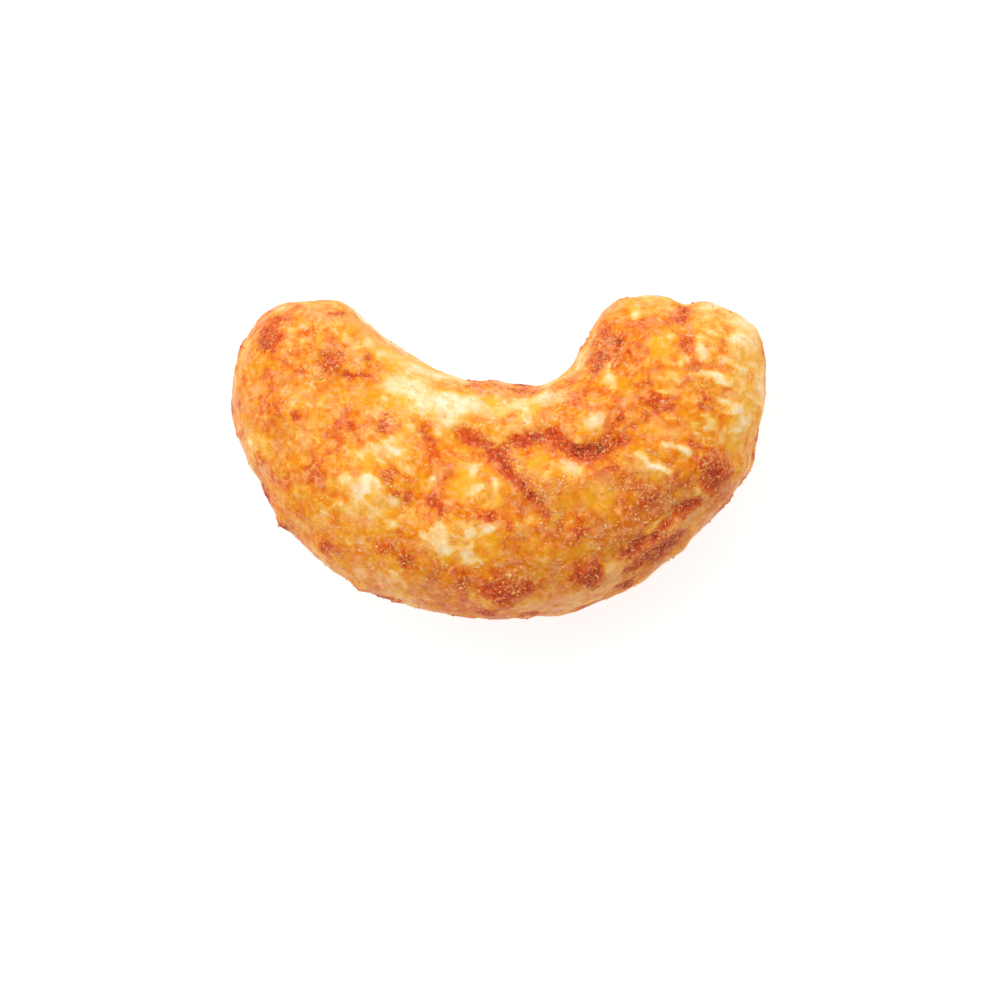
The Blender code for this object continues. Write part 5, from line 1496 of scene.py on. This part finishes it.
@dataclass
class Grains:
    """Many small grains stuck to the skin, as one piece.

    Attributes:
        name: Name of the piece.
        count: How many grains there are.
        radius: Smallest and largest radius, in millimetres.
        stretch: How many times as long as wide a grain may be.
        sink: Share of its radius by which a grain's middle lies under the skin.
        fade: How much paler the grains are on bare skin than in a crust, from 0 to 1.
        liking: How much a grain seeks each stain where it is full.
        bare: How much a grain seeks bare skin.
        crystal: True for cubes, such as salt, and False for rough crumbs.
        finish: The grains' finish.
        seed: Seed of the random draws.
        clear: Heights in millimetres between which grains appear over the table.
        upward: Upward tilts of the normal between which grains grow denser.
        side_share: How dense grains are on the sides and the underside, beside 1 on top.
        cream_shy: Share of the grains that keep off the palest flesh.
        cream_edge: Levels of the palest stain between which they come to keep off.
        cream_fade: How much paler the grains are on the palest flesh, from 0 to 1.
        redden: How much redder the grains are in a crust, from 0 to 1.
        scatter: How far grains stray from the skin's points, in millimetres.
        squash: Least and greatest width of a grain, in radii, along each of its axes.
        rough: Least and greatest share of the radius at a crumb's corners.
        cube: Side of a crystal, in radii.
    """

    name: str
    count: int
    radius: tuple[float, float]
    stretch: float
    sink: float
    fade: float
    liking: dict[Tone, float]
    bare: float
    crystal: bool
    finish: GrainFinish
    seed: int
    clear: tuple[float, float] = (0.3, 1.0)
    upward: tuple[float, float] = (0.0, 0.6)
    side_share: float = 0.3
    cream_shy: float = 0.85
    cream_edge: tuple[float, float] = (0.2, 0.7)
    cream_fade: float = 0.9
    redden: float = 0.3
    scatter: float = 0.02
    squash: tuple[float, float] = (0.65, 1.25)
    rough: tuple[float, float] = (0.75, 1.15)
    cube: float = 1.3

    def template(self) -> tuple[np.ndarray, np.ndarray]:
        """Models one grain.

        Returns:
            Its points, about 1 from its middle, and its triangles.
        """
        bpy.ops.object.select_all(action="DESELECT")
        if self.crystal:
            bpy.ops.mesh.primitive_cube_add(size=self.cube)
        else:
            bpy.ops.mesh.primitive_ico_sphere_add(subdivisions=1, radius=1.0)
        grain = bpy.context.object
        bpy.ops.object.mode_set(mode="EDIT")
        bpy.ops.mesh.quads_convert_to_tris()
        bpy.ops.object.mode_set(mode="OBJECT")
        points = np.array([v.co for v in grain.data.vertices])
        faces = np.array([p.vertices[:] for p in grain.data.polygons])
        mesh = grain.data
        bpy.data.objects.remove(grain)
        bpy.data.meshes.remove(mesh)
        return points, faces

    def build(self, skin: bpy.types.Object) -> bpy.types.Object:
        """Strews the grains over the skin.

        Args:
            skin: The finished skin, with its stains.

        Returns:
            The finished piece.
        """
        draw = np.random.default_rng(self.seed)
        places, normals = KernelSkin.points(skin)
        amounts = {tone: held(skin.data, tone.value) for tone in Tone}
        pull = self.pull(places, normals, amounts)
        chosen = draw.choice(len(places), size=self.count, p=pull / pull.sum())
        radii = draw.uniform(0.0, 1.0, self.count) ** 2
        radii = self.radius[0] + (self.radius[1] - self.radius[0]) * radii
        middles = places[chosen] - normals[chosen] * (radii * self.sink)[:, None]
        middles += draw.normal(0.0, self.scatter, (self.count, 3))
        points, faces = self.template()
        verts = middles[:, None, :] + self.shapes(draw, points) * radii[:, None, None]
        tris = faces[None, :, :] + (np.arange(self.count) * len(points))[:, None, None]
        mesh = bpy.data.meshes.new(self.name)
        mesh.from_pydata((verts.reshape(-1, 3) * MM).tolist(), [], tris.reshape(-1, 3).tolist())
        shades = self.shades(draw, amounts[Tone.RUST][chosen], amounts[Tone.CREAM][chosen])
        hold(mesh, NUMBER, np.repeat(shades, len(points)))
        mesh.materials.append(self.finish.make())
        if not self.crystal:
            mesh.shade_smooth()
        piece = bpy.data.objects.new(self.name, mesh)
        bpy.context.scene.collection.objects.link(piece)
        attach(piece, BODY)
        return piece

    def pull(
        self, places: np.ndarray, normals: np.ndarray, amounts: dict[Tone, np.ndarray]
    ) -> np.ndarray:
        """How much each of the skin's points draws grains.

        Args:
            places: Points in millimetres.
            normals: Normals there.
            amounts: How strongly each stain shows there.

        Returns:
            One value for each point.
        """
        pull = np.full(len(places), self.bare)
        for tone, amount in amounts.items():
            pull += self.liking.get(tone, 0.0) * amount**2
        on_top = self.side_share + (1.0 - self.side_share) * smooth_step(normals[:, 2], *self.upward)
        pull *= smooth_step(places[:, 2], *self.clear) * on_top
        pull *= 1.0 - self.cream_shy * smooth_step(amounts[Tone.CREAM], *self.cream_edge)
        return pull

    def shapes(self, draw: np.random.Generator, points: np.ndarray) -> np.ndarray:
        """Squashes, stretches, roughens and turns each grain by chance.

        Args:
            draw: The random draws.
            points: The points of the grain that all are made from.

        Returns:
            The points of each grain, in its radii from its middle.
        """
        squash = draw.uniform(*self.squash, (self.count, 1, 3))
        squash[:, 0, 0] *= draw.uniform(1.0, self.stretch, self.count)
        rough = 1.0 if self.crystal else draw.uniform(*self.rough, (self.count, len(points), 1))
        return np.einsum("nij,nvj->nvi", self.turns(draw), points[None, :, :] * squash * rough)

    def turns(self, draw: np.random.Generator) -> np.ndarray:
        """Turns each grain by chance.

        Args:
            draw: The random draws.

        Returns:
            A rotation matrix for each grain.
        """
        quaternions = draw.normal(size=(self.count, 4))
        quaternions /= np.linalg.norm(quaternions, axis=1)[:, None]
        w, x, y, z = quaternions.T
        rows = [
            [1 - 2 * (y * y + z * z), 2 * (x * y - z * w), 2 * (x * z + y * w)],
            [2 * (x * y + z * w), 1 - 2 * (x * x + z * z), 2 * (y * z - x * w)],
            [2 * (x * z - y * w), 2 * (y * z + x * w), 1 - 2 * (x * x + y * y)],
        ]
        return np.moveaxis(np.array(rows), 2, 0)

    def shades(self, draw: np.random.Generator, rust: np.ndarray, cream: np.ndarray) -> np.ndarray:
        """How pale each grain is, by chance and by the stain it lies on.

        Args:
            draw: The random draws.
            rust: How full the crust is under each grain.
            cream: How full the palest flesh is under each grain.

        Returns:
            One number from 0 to 1 for each grain.
        """
        shades = draw.uniform(0.0, 1.0, self.count)
        shades += (1.0 - shades) * self.fade * (1.0 - rust)
        shades *= 1.0 - self.redden * rust
        shades += (1.0 - shades) * self.cream_fade * cream
        return shades


@dataclass(frozen=True)
class SoftLight:
    """One square soft light that faces the kernel.

    Attributes:
        name: Its name.
        place: Where it hangs, in metres.
        size: Its side, in metres.
        power: How bright it is, in watts.
    """

    name: str
    place: tuple[float, float, float]
    size: float
    power: float

    def hang(self) -> None:
        """Hangs the light."""
        bpy.ops.object.select_all(action="DESELECT")
        bpy.ops.object.light_add(type="AREA", location=self.place)
        light = bpy.context.object
        light.name = self.name
        light.data.size = self.size
        light.data.energy = self.power
        light.rotation_euler = Vector(self.place).to_track_quat("Z", "Y").to_euler()


@dataclass
class Studio:
    """The white table, the lights and the camera, which looks straight down on the kernel.

    Attributes:
        view_width: Width of the picture at the kernel's middle height, in metres.
        view_middle: Point of the kernel's frame in the middle of the picture, in metres.
        camera_height: Height of the camera, in metres.
        sensor: Width of the camera's sensor, in millimetres.
        lights: The soft lights.
        room_light: Strength of the even light from all round.
        floor_size: Side of the table top, in metres.
        floor_drop: How far the table top lies under the kernel's resting spots, in metres.
        floor_colours: The two screen colours that the table top is mottled with.
        floor_mottle: Share of the second colour.
        floor_grain: Width of the mottling, in millimetres.
        floor_roughness: How dull the table top is.
        floor_glow: How much light comes through the white table top.
    """

    view_width: float = 0.048507
    view_middle: Point = (0.00007, -0.00206)
    camera_height: float = 0.42
    sensor: float = 36.0
    lights: tuple[SoftLight, ...] = (
        SoftLight("left_light", (-0.19, 0.10, 0.27), 0.26, 0.55),
        SoftLight("top_light", (0.11, 0.25, 0.23), 0.26, 0.47),
    )
    room_light: float = 0.58
    floor_size: float = 4.0
    floor_drop: float = 0.00002
    floor_colours: tuple[str, str] = ("A4A4A4", "9C9C9C")
    floor_mottle: float = 0.15
    floor_grain: float = 0.6
    floor_roughness: float = 0.8
    floor_glow: float = 0.75

    def build(self) -> None:
        """Sets up the whole studio."""
        self.lay_floor()
        for light in self.lights:
            light.hang()
        self.light_room()
        self.set_camera()

    def lay_floor(self) -> None:
        """Lays a wide white table top under the kernel."""
        bpy.ops.object.select_all(action="DESELECT")
        bpy.ops.mesh.primitive_plane_add(size=self.floor_size, location=(0.0, 0.0, -self.floor_drop))
        floor = bpy.context.object
        floor.name = "table_top"
        graph = Graph("table_top_finish")
        mottle = graph.clouds(graph.place(), self.floor_grain) * self.floor_mottle
        surface = {
            "Base Color": graph.blend(mottle, *map(paint, self.floor_colours)),
            "Roughness": self.floor_roughness,
            "Emission Color": WHITE,
            "Emission Strength": self.floor_glow,
        }
        floor.data.materials.append(graph.finish(surface))

    def light_room(self) -> None:
        """Fills the room with even white light."""
        world = bpy.data.worlds.new("white_room")
        world.use_nodes = True
        background = world.node_tree.nodes["Background"]
        background.inputs["Color"].default_value = WHITE
        background.inputs["Strength"].default_value = self.room_light
        bpy.context.scene.world = world
        bpy.context.scene.view_settings.view_transform = "Standard"

    def set_camera(self) -> None:
        """Places the camera over the kernel, with the picture's top towards +Y."""
        middle_height = (CAD_BOX[0].z + CAD_BOX[1].z) / 2
        bpy.ops.object.select_all(action="DESELECT")
        bpy.ops.object.camera_add(location=(*self.view_middle, self.camera_height), rotation=(0, 0, 0))
        camera = bpy.context.object
        camera.name = "overhead_camera"
        camera.data.sensor_width = self.sensor
        camera.data.lens = self.sensor * (self.camera_height - middle_height) / self.view_width
        bpy.context.scene.camera = camera


def hold(mesh: bpy.types.Mesh, name: str, values: np.ndarray) -> None:
    """Stores one number for each point of a mesh under a name."""
    attribute = mesh.attributes.new(name, "FLOAT", "POINT")
    attribute.data.foreach_set("value", values.astype(np.float32))


def held(mesh: bpy.types.Mesh, name: str) -> np.ndarray:
    """Reads the numbers that a mesh holds at its points.

    Args:
        mesh: The mesh.
        name: The name under which it holds them.

    Returns:
        One number for each point.
    """
    values = np.empty(len(mesh.vertices), np.float32)
    mesh.attributes[name].data.foreach_get("value", values)
    return values


def select_only(piece: bpy.types.Object) -> None:
    """Makes one object the only selected one, and the active one.

    Args:
        piece: The object.
    """
    bpy.ops.object.select_all(action="DESELECT")
    piece.select_set(True)
    bpy.context.view_layer.objects.active = piece


SPICE = GrainFinish("spice_finish", ("BC4426", "CA5430", "D8683A", "E68448", "F0A05C"), 0.6)
FLAKE = GrainFinish("flake_finish", ("DE7A40", "E88E4E", "F0A45E", "F6B878"), 0.6)
SALT = GrainFinish("salt_finish", ("F4AE68", "F8C084", "FBD6A6"), 0.5)

SEASONINGS = (
    Grains(
        name="spice_crumbs",
        count=4500,
        radius=(0.07, 0.13),
        stretch=1.5,
        sink=0.76,
        fade=0.9,
        liking={Tone.RUST: 0.7, Tone.CRYSTAL: 0.3, Tone.AMBER: 0.02},
        bare=0.002,
        crystal=False,
        finish=SPICE,
        seed=401,
    ),
    Grains(
        name="seasoning_flakes",
        count=4000,
        radius=(0.065, 0.12),
        stretch=1.8,
        sink=0.8,
        fade=0.3,
        liking={Tone.RUST: 0.3, Tone.CRYSTAL: 1.0, Tone.AMBER: 0.03, Tone.OCHRE: 0.06},
        bare=0.01,
        crystal=False,
        finish=FLAKE,
        seed=403,
    ),
    Grains(
        name="salt_grains",
        count=400,
        radius=(0.035, 0.06),
        stretch=1.3,
        sink=0.6,
        fade=0.0,
        liking={Tone.RUST: 0.2, Tone.CRYSTAL: 1.0, Tone.AMBER: 0.05},
        bare=0.02,
        crystal=True,
        finish=SALT,
        seed=402,
    ),
)


def main() -> None:
    """Builds the skin, the seasoning and the studio, in that order."""
    logging.basicConfig(level=logging.INFO, format="%(name)s: %(message)s")
    skin = KernelSkin().build()
    LOG.info("skin: %d faces", len(skin.data.polygons))
    for seasoning in SEASONINGS:
        piece = seasoning.build(skin)
        LOG.info("%s: %d faces", piece.name, len(piece.data.polygons))
    Studio().build()


if __name__ == "__main__":
    main()
